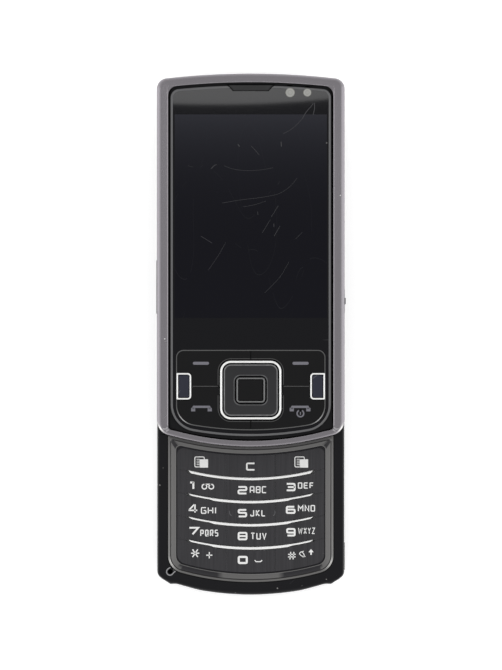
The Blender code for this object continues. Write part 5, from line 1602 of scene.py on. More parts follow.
class Ink:
    """Printed marks as thin raised strokes on a flat face."""

    thickness = 0.000012
    depth = 0.00005
    least_mitre = 0.45
    least_length = 1e-9

    def __init__(self, z: float) -> None:
        """Starts with no strokes on a face at height z."""
        self.z = z
        self.shell = Shell()

    def stroke(self, path: Array, width: float, closed: bool = False, ends: bool = False) -> None:
        """A ribbon of one width along a path, mitred at its bends.

        Formula: at each point the ribbon's edges lie half a width out along the mean of its two
        spans' normals, divided by the cosine of half the bend.

        Args:
            path: rows of x and y.
            width: width of the ribbon.
            closed: True where the path returns to its start.
            ends: True for round ends, on a path of two points.
        """
        step = np.linalg.norm(path - np.roll(path, 1, axis=0), axis=1)
        step[0] = step[0] if closed else 1.0
        path = path[step > MERGE]
        if ends and not closed:
            self.fill(round_ends(path, width))
            return
        ahead = np.roll(path, -1, axis=0) - path
        if not closed:
            ahead[-1] = ahead[-2]
        ahead /= np.linalg.norm(ahead, axis=1, keepdims=True)
        behind = np.roll(ahead, 1, axis=0)
        if not closed:
            behind[0] = ahead[0]
        normal = np.column_stack((-(ahead + behind)[:, 1], (ahead + behind)[:, 0]))
        length = np.linalg.norm(normal, axis=1, keepdims=True)
        normal /= np.maximum(length, self.least_length)
        span = np.column_stack((-ahead[:, 1], ahead[:, 0]))
        bend = np.maximum(np.sum(normal * span, axis=1, keepdims=True), self.least_mitre)
        out = normal / bend * width / 2
        top, low = self.z + self.thickness, self.z - self.depth
        sides = ((out, top), (-out, top), (-out, low), (out, low))
        rows = np.stack([at_height(path + move, z) for move, z in sides], axis=1)
        self.shell.grid(list(rows), closed=closed)
        if not closed:
            self.shell.face(rows[0]).face(rows[-1])

    def fill(self, loop: Array) -> None:
        """A filled shape on a flat loop."""
        self.shell.slab(loop, self.z - self.depth, self.z + self.thickness)


def round_ends(path: Array, width: float) -> Array:
    """The outline of a straight bar with round ends: two half circles at its two points.

    Args:
        path: its two points.
        width: its width.

    Returns:
        Rows of x and y.
    """
    along = path[1] - path[0]
    turns = np.linspace(-math.pi / 2, math.pi / 2, HALF_ROUND_STEPS)
    end = width / 2 * on_circle(turns + math.atan2(along[1], along[0]))
    return np.vstack((path[1] + end, path[0] - end))


# Lower half


@dataclass
class FaceHousing:
    """The gloss black face of the lower half: two legs and a tail round the keypad."""

    low: float = 0.0063
    ceiling: float = 0.0071
    wall: float = 0.0012
    edge_height: float = 0.0012
    edge_inset: float = 0.0006
    edge_wear: float = 0.25
    rail_half: float = 0.01855
    rail_low: float = -0.007296
    rail_high: float = 0.0512
    join: float = -0.0077
    lanyard_at: Pair = (-0.02318, -0.0472)
    lanyard_radius: float = 0.00065
    lanyard_levels: Pair = (-0.0003, 0.000006)
    lanyard_bend: float = 0.0004
    lanyard_width: float = 0.00032
    lanyard_rim: Pairs = (
        (0.05, 1.15), (-0.83, 0.6), (-1.1, -0.05), (-0.93, -0.71), (-0.27, -1.15),
        (0.38, -1.04), (0.93, -0.44), (1.5, 0.12),
    )
    shelf: float = 0.0075
    shelf_reach: float = 0.0007
    seam: float = 0.006
    seam_lip: Pair = (0.0006, 0.0009)
    tail_marks: tuple[float, ...] = (
        0.0216, 0.022, 0.0224, 0.0229, 0.0231, 0.0233, 0.0236, 0.0239,
    )
    inner_marks: float = 0.7
    tail_change: Pairs = (
        (0.0, -0.45), (14.5, -0.4), (18.9, -0.1), (21.3, 0.0), (22.2, -0.24), (23.0, -0.5),
        (23.4, -0.45), (24.5, -0.02), (25.8, 0.26), (26.4, 0.1), (26.9, 0.0),
    )

    def body_loop(self, inset: float, z: float) -> Array:
        """The body's outline with its cut tail corners, moved in and set at a height.

        Formula: the tail's height is changed by a line through a few measured changes, times one
        less the share of the round edge that the loop has moved in, times the share of the wall
        that it has risen.

        Args:
            inset: how far it is moved in.
            z: its height.

        Returns:
            Rows of x, y and z.
        """
        loop = replace(BODY.inset(inset), marks=self.tail_marks).with_sides(self.join)
        places, change = np.array(self.tail_change).T / MM_PER_M
        rise = min((z - self.low) / (BASE_TOP - self.edge_height - self.low), 1.0)
        tail = np.interp(np.abs(loop[:, 0]), places, change) * (1 - inset / self.edge_inset) * rise
        loop[:, 1] += np.where(loop[:, 1] < TAIL_FROM, tail, 0)
        return at_height(loop, z)

    def build(self) -> None:
        """The housing: outer wall and round edge, then a face in two parts with an opening each."""
        marks = self.tail_marks
        near = tuple(self.inner_marks * mark for mark in marks)
        opening = replace(BEZEL.inset(-SEAT_GAP), marks=near)
        shelf = opening.inset(self.shelf_reach)
        inner = replace(BODY.inset(self.edge_inset), marks=marks)
        core = replace(BODY.inset(self.wall + SEAT_GAP), marks=marks)
        rail_ends = (self.rail_low - SEAT_GAP, self.rail_high + SEAT_GAP)
        rails = Plan(self.rail_half + SEAT_GAP, *rail_ends, marks=near)
        shell = Shell()
        edge = list(reversed(quarter(self.edge_height, self.edge_inset)))
        rows = [self.body_loop(0, self.low)]
        rows += [self.body_loop(inset, BASE_TOP - drop) for drop, inset in edge]
        shell.grid(rows, rims=[0.0] + [self.edge_wear] * len(edge))
        for plan, z, low_hole in ((inner, BASE_TOP, opening), (core, self.ceiling, shelf)):
            shell.grid((plan.below(self.join).at(z), low_hole.at(z)))
            shell.grid((plan.above(self.join).at(z), rails.at(z)))
        steps = ((opening, BASE_TOP), (opening, self.shelf), (shelf, self.shelf), (shelf, self.ceiling))
        shell.grid([plan.at(z) for plan, z in steps])
        shell.grid((rails.at(BASE_TOP), rails.at(self.ceiling)))
        foot = replace(BODY.inset(self.wall), marks=marks).with_sides(self.join)
        roof = at_height(core.with_sides(self.join), self.ceiling)
        shell.grid((roof, at_height(foot, self.low), self.body_loop(0, self.low)))
        outer, back = (BODY.inset(inset) for inset in self.seam_lip)
        levels = (self.seam, self.low, self.low, self.seam)
        lip = [plan.at(z) for plan, z in zip((outer, outer, back, back), levels)]
        shell.grid(lip, closed=True)
        add_piece("face_housing", shell, GLOSS_BLACK, "lower_body", ("front_housing",))
        self.build_lanyard()

    def build_lanyard(self) -> None:
        """The lanyard eye: a thin rim, open towards the keypad, round a near-black disc of painted shade for the
        hole.
        """
        path = np.array(self.lanyard_rim) / MM_PER_M + np.array(self.lanyard_at)
        ink = Ink(BASE_TOP)
        ink.stroke(soften(path, self.lanyard_bend, False), self.lanyard_width)
        add_piece("lanyard_rim", ink.shell, WORN_GREY, "lower_body")
        low, high = (BASE_TOP + level for level in self.lanyard_levels)
        hole = Shell().slab(circle(self.lanyard_radius), low, high, self.lanyard_at)
        add_piece("lanyard_hole_shade", hole, HOLE_SHADE, "lower_body")


@dataclass
class KeypadBezel:
    """The grey silver frame round the keypad: a raised line, a groove and a sloping ledge."""

    top: float = 0.0091
    height: float = 0.0015
    line: float = 0.00058
    groove: float = 0.0003
    groove_depth: float = 0.00025
    ledge: float = 0.0014
    ledge_depth: float = 0.0004
    ledge_start: float = 0.00015
    tail_extra: float = 0.00002
    head_line: float = 0.00105
    head_band: float = 0.00205
    head_corner: float = 0.001
    floor_drop: float = 0.00145
    floor_reach: float = 0.0008
    # marks and facet_to: where the painted dark reflection on the tail ledge's facets ramps in and where it ends;
    # corner_facet: how far the painted shade on the head's corner facets reaches.
    marks: tuple[float, ...] = (0.0079, 0.0097)
    facet_to: float = 0.0203
    corner_facet: float = 0.0008
    # head_shade: painted shadow of the upper half on the head; groove_shade: painted shade in the groove.
    head_shade: float = 0.45
    groove_shade: float = 0.8
    line_foot: float = 0.00012
    line_edge: Pair = (0.00004, 0.00003)
    line_flat: float = 0.00014
    line_back: float = 0.0001
    ledge_edge: Pair = (0.0001, 0.00002)
    ledge_end: float = 0.00025
    lip: Pair = (0.00001, 0.00005)
    head_edge: float = 0.0005
    head_margin: float = 0.0002
    # corner_shade: painted shade on the head's corner facets; groove_share: how far across the groove its painted
    # shade holds.
    corner_shade: float = 0.9
    groove_share: float = 0.9
    # Where and how far the painted highlight on the outer line's tail corners reaches.
    shine_at: Pair = (0.0228, -0.0447)
    shine_reach: float = 0.0017
    shine_most: float = 0.9

    def band(self) -> float:
        """Width of the whole frame at its sides."""
        return self.line + self.groove + self.ledge

    def plan(self, side: float) -> Plan:
        """One outline, in by side at the sides and by matching bands at the ends."""
        band = self.band()
        share = side / band
        low = side + self.tail_extra * share
        places = (0.0, self.line + self.groove, band, 2 * band)
        insets = (0.0, self.head_line, self.head_band, self.head_band + band)
        plan = BEZEL.inset(side, low, float(np.interp(side, places, insets)), self.head_corner)
        corner = BEZEL.high_corner + self.head_corner * share
        return replace(plan, high_corner=corner, marks=self.marks)

    def inner(self) -> Plan:
        """The frame's inner edge."""
        return replace(self.plan(self.band()), marks=())

    def shade(self, side: float) -> Array:
        """How much painted shade each point of a loop gets: painted dark reflection on the tail ledge's facets,
        painted shade in the groove and on the head's corner facets, and the painted shadow of the upper half on
        the head.

        Args:
            side: how far in the loop lies.

        Returns:
            A value from 0 to 1 for each point of the loop.
        """
        plan = self.plan(side)
        loop = plan.loop()
        x, y = np.abs(loop[:, 0]), loop[:, 1]
        head = y > plan.high - self.head_edge
        if side <= self.line:
            return np.where(head & (x < plan.half_width - self.head_margin), self.head_shade, 0.0)
        if side < self.line + self.groove_share * self.groove:
            return np.where(head, self.head_shade, self.groove_shade)
        corner = head & (x > plan.half_width - self.corner_facet) & (x < plan.half_width)
        facet = (y < TAIL_FROM) & (x < self.facet_to)
        tail = np.interp(x, self.marks, (0.0, 1.0))
        return np.where(facet, tail, np.where(corner, self.corner_shade, 0.0))

    def shine(self, side: float, amount: float) -> Array:
        """How much rim each point of a loop gets: one amount, and more at its tail corners; rims give rubbed wear
        and a painted highlight.
        """
        bright = glow(self.plan(side).loop(), self.shine_at, self.shine_reach)
        return amount + self.shine_most * bright * (0 < side < self.line)

    def build(self) -> None:
        """The frame as loops from its outer foot over the line and down the ledge."""
        top, bottom = self.top, self.top - self.height
        line, band, floor = self.line, self.band(), top - self.floor_drop
        step, drop = self.line_edge
        run, fall = self.ledge_edge
        start, lip = top - self.ledge_start, top - self.ledge_depth
        steps = (
            (band + self.floor_reach, bottom, 0.0),
            (0.0, bottom, 0.0),
            (0.0, top - self.line_foot, 0.02),
            (step, top - drop, 0.06),
            (self.line_flat, top, 0.06),
            (line - self.line_flat, top, 0.04),
            (line - step, top - drop, 0.04),
            (line, top - self.line_back, 0.0),
            (line + self.groove / 2, top - self.groove_depth, 0.0),
            (line + self.groove, start, 0.04),
            (line + self.groove + run, start - fall, 0.02),
            (band - self.ledge_end, lip, 0.0),
            (band, lip - self.lip[1], 0.15),
            (band + self.lip[0], floor, 0.0),
            (band + self.floor_reach, floor, 0.0),
        )
        rows = [self.plan(side).at(z) for side, z, _ in steps]
        # Rim values give rubbed wear and a painted highlight; painted_shades give the painted shade and shadow.
        rims = [self.shine(side, rim) for side, _, rim in steps]
        painted_shades = [self.shade(side) for side, _, _ in steps]
        # The floor strip inside the ledge gets full painted shade.
        painted_shades[-3:] = [np.full(len(row), shade) for row, shade in zip(rows[-3:], (0.0, 1.0, 1.0))]
        shell = Shell().grid(rows, closed=True, rims=rims, painted_shades=painted_shades)
        add_piece("keypad_frame", shell, BEZEL_SILVER, "lower_body", ("keypad_bezel",))


@dataclass
class Keypad:
    """Fifteen keys of one brushed plate, the bright bars between the rows, and the legends."""

    plate_gap: float = 0.0003
    plate_end_gap: float = 0.00045
    plate_corner: float = 0.003
    plate_head_corner: float = 0.0017
    top: float = 0.00885
    thickness: float = 0.00085
    key_bevel: float = 0.00004
    row_shares: tuple[float, ...] = (0.7985, 0.6009, 0.4033, 0.2064)
    bar_radius: float = 0.076
    top_bar_radius: float = 0.076
    bar_reach: float = 0.84
    tip_length: float = 0.0007
    bar_thickness: float = 0.00074
    tip_thickness: float = 0.0005
    step_reach: float = 0.504
    step_length: float = 0.0012
    bar_top: float = 0.00908
    bar_height: float = 0.0011
    slot_ramp: float = 0.0004
    web_drop: float = 0.00004
    web_thickness: float = 0.0003
    web_gap: float = 0.00001
    web_steps: int = 7
    tips: tuple[float, ...] = (0.03, 0.12, 0.27, 0.48, 0.75, 1.0)
    least_taper: float = 0.1
    crown: float = 0.00022
    bar_wear: float = 0.2
    bar_steps: int = 61
    key_steps: int = 25
    least_step: float = 0.00003
    touch_marks: tuple[tuple[str, float, int], ...] = (("left", -5.5, 1), ("right", 6.4, -1))
    touch_y: float = -30.2
    names: tuple[tuple[str, ...], ...] = (
        ("key_shortcut_left", "key_clear", "key_shortcut_right"),
        ("key_1", "key_2", "key_3"),
        ("key_4", "key_5", "key_6"),
        ("key_7", "key_8", "key_9"),
        ("key_star", "key_0", "key_hash"),
    )

    def plate(self) -> Plan:
        """The whole plate's outline."""
        plan = KeypadBezel().inner().inset(self.plate_gap, self.plate_end_gap, self.plate_end_gap)
        return replace(plan, low_corner=self.plate_corner, high_corner=self.plate_head_corner)

    def row_line(self, row: int, x: Array) -> Array:
        """Height of the middle of the bar under a row, at x."""
        plate = self.plate()
        y = plate.low + (plate.high - plate.low) * self.row_shares[row]
        return arch(x, y, -(self.bar_radius if row else self.top_bar_radius))

    def bar_drop(self, row: int, x: Array) -> Array:
        """How far below its middle line a bar's lower edge lies at x: less past its step."""
        x = np.abs(x)
        if not row:
            return np.full_like(x, self.bar_thickness / 2)
        start = self.plate().half_width * self.step_reach
        share = np.clip((x - start) / self.step_length, 0, 1)
        thickness = self.bar_thickness + (self.tip_thickness - self.bar_thickness) * share
        return thickness - self.bar_thickness / 2

    def slot(self, x: Array, bar_half: Array) -> Array:
        """Half width at x of the slot between two rows, wide round the bar, narrow past it."""
        end = self.plate().half_width * self.bar_reach + KEY_GAP
        share = np.clip((np.abs(x) - end) / self.slot_ramp, 0, 1)
        wide = bar_half + KEY_GAP
        return wide + (KEY_GAP / 2 - wide) * share

    def edges(self, row: int, x: Array) -> tuple[Array, Array]:
        """Heights at x of a row's lower and upper edge."""
        plate = self.plate()
        low, high = plate.edge(x, upper=False), plate.edge(x, upper=True)
        if row < len(self.row_shares):
            low = self.row_line(row, x) + self.slot(x, self.bar_thickness / 2)
        if row:
            high = self.row_line(row - 1, x) - self.slot(x, self.bar_drop(row - 1, x))
        return low, high

    def strip(
        self, x: Array, low: Array, high: Array, z0: float, z1: float, bevel: float
    ) -> Shell:
        """A plate between two edges over x, bevelled round its top.

        Args:
            x: places across.
            low: its lower edge there.
            high: its upper edge there.
            z0: its underside.
            z1: its top.
            bevel: width and height of the bevel.

        Returns:
            The plate as a shell.
        """
        inner = x[0] + bevel + (x - x[0]) * (1 - 2 * bevel / (x[-1] - x[0]))
        steps = ((x, 0.0, z0), (x, 0.0, z1 - bevel), (inner, -bevel, z1))
        sides = [(line_at(a, low - g, z), line_at(a, high + g, z)) for a, g, z in steps]
        shell = Shell().grid([np.vstack((lower, upper[::-1])) for lower, upper in sides], rims=(0, 1, 1))
        return shell.grid(sides[-1], around=False).grid(sides[0], around=False)

    def stations(self, x0: float, x1: float) -> Array:
        """Places across a key, with the bars' and the corners' bends among them."""
        plate = self.plate()
        reach = plate.half_width * self.bar_reach + KEY_GAP
        step = plate.half_width * self.step_reach
        marks = [reach, reach + self.slot_ramp, step, step + self.step_length]
        turns = np.sin(np.linspace(0, math.pi / 2, HALF_ROUND_STEPS))
        for corner in (self.plate_corner, self.plate_head_corner):
            marks += (plate.half_width - corner * (1 - turns)).tolist()
        marks = np.array(marks)
        every = np.concatenate((np.linspace(x0, x1, self.key_steps), marks, -marks))
        every = np.unique(np.round(every[(every >= x0) & (every <= x1)], PLACE_DIGITS))
        kept = every[np.diff(every, prepend=every[0] - 1) > self.least_step]
        kept[-1] = x1
        return kept

    def build(self) -> None:
        """Builds the keys, the web between them, the bars and the legends."""
        half = self.plate().half_width
        width = 2 * half / 3
        for row, names in enumerate(self.names):
            for column, name in enumerate(names):
                left = -half + column * width
                x0 = left if column == 0 else left + KEY_GAP / 2
                x1 = left + width if column == 2 else left + width - KEY_GAP / 2
                x = self.stations(x0, x1)
                low, high = self.edges(row, x)
                shell = self.strip(x, low, high, self.top - self.thickness, self.top, self.key_bevel)
                add_piece(f"plate_{name}", shell, BRUSHED_PLATE, f"{name}_body", (name,))
        for row in range(len(self.row_shares)):
            self.build_bar(row)
        self.build_web()
        self.build_legends()

    def build_bar(self, row: int) -> None:
        """One bright bar with a half-round top, thicker in its middle and pointed at its tips.

        Args:
            row: the row above it.
        """
        plate = self.plate()
        reach = plate.half_width * self.bar_reach
        step = plate.half_width * self.step_reach
        marks = (-step - self.step_length, -step, step, step + self.step_length)
        tips = reach - self.tip_length * np.array(self.tips)
        marks = np.concatenate((marks if row else (), tips, -tips))
        x = np.unique(np.concatenate((np.linspace(-reach, reach, self.bar_steps), marks)))
        line = self.row_line(row, x)
        drop = self.bar_drop(row, x)
        taper = np.sqrt(np.clip((reach - np.abs(x)) / self.tip_length, self.least_taper, 1))
        half = (self.bar_thickness / 2 + drop) / 2 * taper
        middle = line + self.bar_thickness / 2 - half
        foot, top = self.bar_top - self.bar_height, self.bar_top - self.crown
        turns = np.linspace(0, math.pi, HALF_ROUND_STEPS)
        rows = [line_at(x, middle + half, foot)]
        rows += [line_at(x, middle + half * math.cos(t), top + self.crown * math.sin(t)) for t in turns]
        rows.append(line_at(x, middle - half, foot))
        rims = [0] + [self.bar_wear] * len(turns) + [0]
        shell = Shell().grid(rows, closed=True, around=False, rims=rims)
        stack = np.stack(rows)
        shell.face(stack[:, 0]).face(stack[:, -1])
        add_piece(f"bright_bar_{row + 1}", shell, BRIGHT_METAL, "lower_body", (f"row_bar_{row + 1}",))

    def build_web(self) -> None:
        """Thin webs of the plate that join the keys, just below their faces."""
        half_plate = self.plate().half_width
        z1 = self.top - self.web_drop
        z0 = z1 - self.web_thickness
        shell = Shell()
        width = KEY_GAP / 2 - self.web_gap
        third = half_plate / 3
        reach = half_plate * self.bar_reach + KEY_GAP + self.slot_ramp
        for side in (-1, 1):
            for row in range(len(self.names)):
                x = np.array((side * third - width, side * third + width))
                low, high = self.edges(row, x)
                corners = np.array(((x[0], low[0]), (x[1], low[1]), (x[1], high[1]), (x[0], high[0])))
                shell.slab(corners, z0, z1)
            for row in range(len(self.row_shares)):
                x = np.linspace(reach, half_plate - 2 * self.web_gap, self.web_steps) * side
                line = self.row_line(row, x)
                lower, upper = np.column_stack((x, line - width)), np.column_stack((x, line + width))
                shell.slab(np.vstack((lower, upper[::-1])), z0, z1)
        add_piece("plate_web", shell, BRUSHED_PLATE, "lower_body")

    def build_legends(self) -> None:
        """Prints each key's legend."""
        for key, marks in LEGENDS.items():
            ink = Ink(self.top)
            for mark in marks:
                mark.draw(ink)
            add_piece(f"legend_{key[4:]}", ink.shell, MARK_WHITE, f"{key}_body")
        for word, x, facing in self.touch_marks:
            ink = Ink(self.top)
            CrescentMark(x, self.touch_y, facing).draw(ink)
            add_piece(f"touch_mark_{word}", ink.shell, CRESCENT, "key_5_body")


Strokes = tuple[Pairs, ...]
BOX: Pairs = ((0, 0), (1, 0), (1, 1), (0, 1), (0, 0))

# Strokes of each sign on a square from (0, 0) to (1, 1)
SIGNS: dict[str, Strokes] = {
    "0": (BOX,),
    "1": (((0, 1), (1, 1)), ((0.95, 1.1), (0.95, 0))),
    "2": (((0, 1), (1, 1), (1, 0.5), (0, 0.5), (0, 0), (1, 0)),),
    "3": (((0, 1), (1, 1), (1, 0), (0, 0)), ((0.15, 0.5), (1, 0.5))),
    "4": (((0.66, 1.04), (0.06, 0.3)), ((0, 0.24), (1, 0.24)), ((0.74, 1.06), (0.74, -0.06))),
    "5": (((1, 1), (0, 1), (0, 0.55), (1, 0.55), (1, 0), (0, 0)),),
    "6": (((0.95, 1), (0, 1), (0, 0), (1, 0), (1, 0.55), (0.12, 0.55)),),
    "7": (((0, 1), (1, 1), (0.35, 0)),),
    "8": (BOX, ((0.1, 0.5), (0.9, 0.5))),
    "9": (((0.05, 0), (1, 0), (1, 1), (0, 1), (0, 0.45), (0.88, 0.45)),),
    "A": (((0, 0), (0, 1), (1, 1), (1, 0)), ((0.1, 0.38), (0.9, 0.38))),
    "B": (BOX, ((0.1, 0.52), (0.9, 0.52))),
    "C": (((1, 1), (0, 1), (0, 0), (1, 0)),),
    "D": (BOX,),
    "E": (((1, 1), (0, 1), (0, 0), (1, 0)), ((0.1, 0.52), (0.9, 0.52))),
    "F": (((1, 1), (0, 1), (0, 0)), ((0.1, 0.5), (0.85, 0.5))),
    "G": (((1, 1), (0, 1), (0, 0), (1, 0), (1, 0.48), (0.5, 0.48)),),
    "H": (((0, 1), (0, 0)), ((1, 1), (1, 0)), ((0.05, 0.5), (0.95, 0.5))),
    "I": (((0.5, 1), (0.5, 0)),),
    "J": (((0.9, 1), (0.9, 0), (0, 0), (0, 0.25)),),
    "K": (((0, 1), (0, 0)), ((0.95, 1), (0.1, 0.5), (1, 0))),
    "L": (((0, 1), (0, 0), (1, 0)),),
    "M": (((0, 0), (0, 1), (0.5, 0.45), (1, 1), (1, 0)),),
    "N": (((0, 0), (0, 1), (1, 0), (1, 1)),),
    "O": (BOX,),
    "P": (((0, 0), (0, 1), (1, 1), (1, 0.42), (0.1, 0.42)),),
    "Q": (BOX, ((0.55, 0.3), (1.05, -0.12))),
    "R": (((0, 0), (0, 1), (1, 1), (1, 0.45), (0.1, 0.45)), ((0.45, 0.45), (1, 0))),
    "S": (((1, 1), (0, 1), (0, 0.52), (1, 0.52), (1, 0), (0, 0)),),
    "T": (((0, 1), (1, 1)), ((0.5, 0.95), (0.5, 0))),
    "U": (((0, 1), (0, 0), (1, 0), (1, 1)),),
    "V": (((0, 1), (0.5, 0), (1, 1)),),
    "W": (((0, 1), (0.24, 0), (0.5, 0.8), (0.76, 0), (1, 1)),),
    "X": (((0, 1), (1, 0)), ((1, 1), (0, 0))),
    "Y": (((0, 1), (0.5, 0.48), (1, 1)), ((0.5, 0.5), (0.5, 0))),
    "Z": (((0, 1), (1, 1), (0, 0), (1, 0)),),
    "*": (((0, 0.5), (1, 0.5)), ((0.18, 1), (0.82, 0)), ((0.82, 1), (0.18, 0))),
    "+": (((0.5, 1), (0.5, 0)), ((0, 0.5), (1, 0.5))),
    "#": (((0.36, 1), (0.24, 0)), ((0.78, 1), (0.66, 0)), ((0, 0.67), (1, 0.67)), ((0, 0.33), (1, 0.33))),
    "space": (((0, 1), (0.18, 0), (0.82, 0), (1, 1)),),
    "mute": (
        ((0, 0.62), (0.4, 1), (0.78, 0.62), (0.95, 0.05), (0.4, 0.2), (0, 0.62)),
        ((0.55, 0.95), (0.8, 1.05)), ((0.62, 0.02), (1.1, 0.1)),
    ),
}
SIGN_WIDTHS = {"I": 0.2, "M": 1.3, "W": 1.6, "F": 0.9}
SHARP_SIGNS = ("1", "7", "4", "M", "N", "W", "V", "X", "Y", "Z", "K", "*", "+", "#")


@dataclass(frozen=True)
class Mark:
    """A sign, or a word of signs, in a box on the keypad, with millimetre edges."""

    word: str
    x0: float
    x1: float
    y0: float
    y1: float
    weight: float = 0.31
    spacing: float = 2.2
    bend: float = 0.2

    def draw(self, ink: Ink) -> None:
        """Draws the word's signs side by side, each in an equal share of the box.

        Args:
            ink: where the strokes go.
        """
        signs = (self.word,) if self.word in SIGNS else tuple(self.word)
        weight = self.weight / MM_PER_M
        low = np.array((self.x0, self.y0)) / MM_PER_M + weight / 2
        high = np.array((self.x1, self.y1)) / MM_PER_M - weight / 2
        gap = self.spacing * weight
        widths = np.array([SIGN_WIDTHS.get(sign, 1.0) for sign in signs])
        widths *= (high[0] - low[0] - gap * (len(signs) - 1)) / widths.sum()
        places = np.cumsum(widths + gap) - widths - gap
        for sign, width, place in zip(signs, widths, places):
            size = np.array((width, high[1] - low[1]))
            start = low + np.array((place, 0.0))
            for stroke in SIGNS[sign]:
                path = np.array(stroke, float) * size + start
                closed = stroke[0] == stroke[-1]
                bend = 0.0 if sign in SHARP_SIGNS else self.bend * min(size)
                path = soften(path[:-1] if closed else path, bend, closed)
                ink.stroke(path, weight, closed)


def soften(path: Array, radius: float, closed: bool, steps: int = 4) -> Array:
    """Rounds a path's bends.

    Formula: each bend is replaced by the parabola from a point one radius before it to a point
    one radius after it, or half a span where that is less.

    Args:
        path: rows of x and y.
        radius: how far from a bend its curve starts.
        closed: True where the path returns to its start.
        steps: spans in each curve.

    Returns:
        The rounded path.
    """
    if radius <= 0 or len(path) < 3:
        return path
    bends = path if closed else path[1:-1]
    before = np.roll(path, 1, axis=0) if closed else path[:-2]
    after = np.roll(path, -1, axis=0) if closed else path[2:]

    def towards(other: Array) -> Array:
        """The points where the curves start or end, on the way to the neighbours."""
        gap = other - bends
        length = np.linalg.norm(gap, axis=1, keepdims=True)
        return bends + gap / length * np.minimum(radius, length / 2)

    start, end = towards(before), towards(after)
    t = np.linspace(0, 1, steps + 1)[None, :, None]
    curve = (1 - t) ** 2 * start[:, None] + 2 * t * (1 - t) * bends[:, None] + t**2 * end[:, None]
    curve = curve.reshape(-1, 2)
    if closed:
        return curve
    return np.vstack((path[:1], curve, path[-1:]))


@dataclass(frozen=True)
class BoxMark:
    """A mark that fills a box on the keypad, with millimetre edges."""

    x0: float
    x1: float
    y0: float
    y1: float

    def low(self) -> Array:
        """The box's lower left corner, in metres."""
        return np.array((self.x0, self.y0)) / MM_PER_M

    def size(self) -> Array:
        """The box's width and height, in metres."""
        return np.array((self.x1 - self.x0, self.y1 - self.y0)) / MM_PER_M

    def place(self, shape: Sequence[Pair]) -> Array:
        """A path on a square from (0, 0) to (1, 1), carried to the box, in metres."""
        return np.array(shape) * self.size() + self.low()


@dataclass(frozen=True)
class PageMark(BoxMark):
    """A page with lines and a plain solid label at its lower right corner."""

    outline: Pairs = ((0.42, 0.06), (0.05, 0.06), (0.05, 0.95), (0.72, 0.95), (0.72, 0.74))
    outline_bend: float = 0.0004
    outline_width: float = 0.00026
    line_ends: Pair = (0.18, 0.4)
    line_heights: tuple[float, ...] = (0.26, 0.42, 0.58, 0.74)
    line_width: float = 0.00018
    label_half: Pair = (0.3, 0.37)
    label_at: Pair = (0.69, 0.37)
    label_corner: float = 0.0001

    def draw(self, ink: Ink) -> None:
        """Draws the page's outline, its lines and its label.

        Args:
            ink: where the strokes go.
        """
        ink.stroke(soften(self.place(self.outline), self.outline_bend, False), self.outline_width)
        for height in self.line_heights:
            ink.stroke(self.place([(x, height) for x in self.line_ends]), self.line_width)
        size = self.size()
        label = rounded(*(np.array(self.label_half) * size), self.label_corner)
        ink.fill(label + self.low() + np.array(self.label_at) * size)


@dataclass(frozen=True)
class ReelMark(BoxMark):
    """Two reels joined by a line above them."""

    centres: Pair = (0.24, 0.76)
    margin: float = 0.0002
    steps: int = 24
    weight: float = 0.00034

    def draw(self, ink: Ink) -> None:
        """Draws the two reels and the line.

        Args:
            ink: where the strokes go.
        """
        low, size = self.low(), self.size()
        reel = circle(size[1] / 2 - self.margin, self.steps)
        for share in self.centres:
            centre = low + np.array((share * size[0], size[1] / 2))
            ink.stroke(reel + centre, self.weight, closed=True)
        line = self.place([(x, 1.0) for x in self.centres])
        ink.stroke(line - np.array((0, self.margin)), self.weight)


@dataclass(frozen=True)
class ArrowMark(BoxMark):
    """A solid arrow that points up."""

    outline: Pairs = (
        (0.36, 0), (0.64, 0), (0.64, 0.45), (1, 0.45), (0.5, 1), (0, 0.45), (0.36, 0.45),
    )

    def draw(self, ink: Ink) -> None:
        """Draws the arrow's head over its stem."""
        ink.fill(self.place(self.outline))


@dataclass(frozen=True)
class CrescentMark:
    """A short curved touch mark beside the middle key, which faces left or right."""

    x: float
    y: float
    facing: int
    turns: Pair = (150.0, 270.0)
    steps: int = 12
    radii: Pair = (0.0006, 0.0009)
    weight: float = 0.00022

    def draw(self, ink: Ink) -> None:
        """Draws the mark as a part of an ellipse.

        Args:
            ink: where the strokes go.
        """
        turns = np.linspace(*np.radians(self.turns), self.steps)
        arc = on_circle(turns) * np.array(self.radii)
        centre = np.array((self.x, self.y)) / MM_PER_M
        ink.stroke(arc * np.array((self.facing, 1.0)) + centre, self.weight)


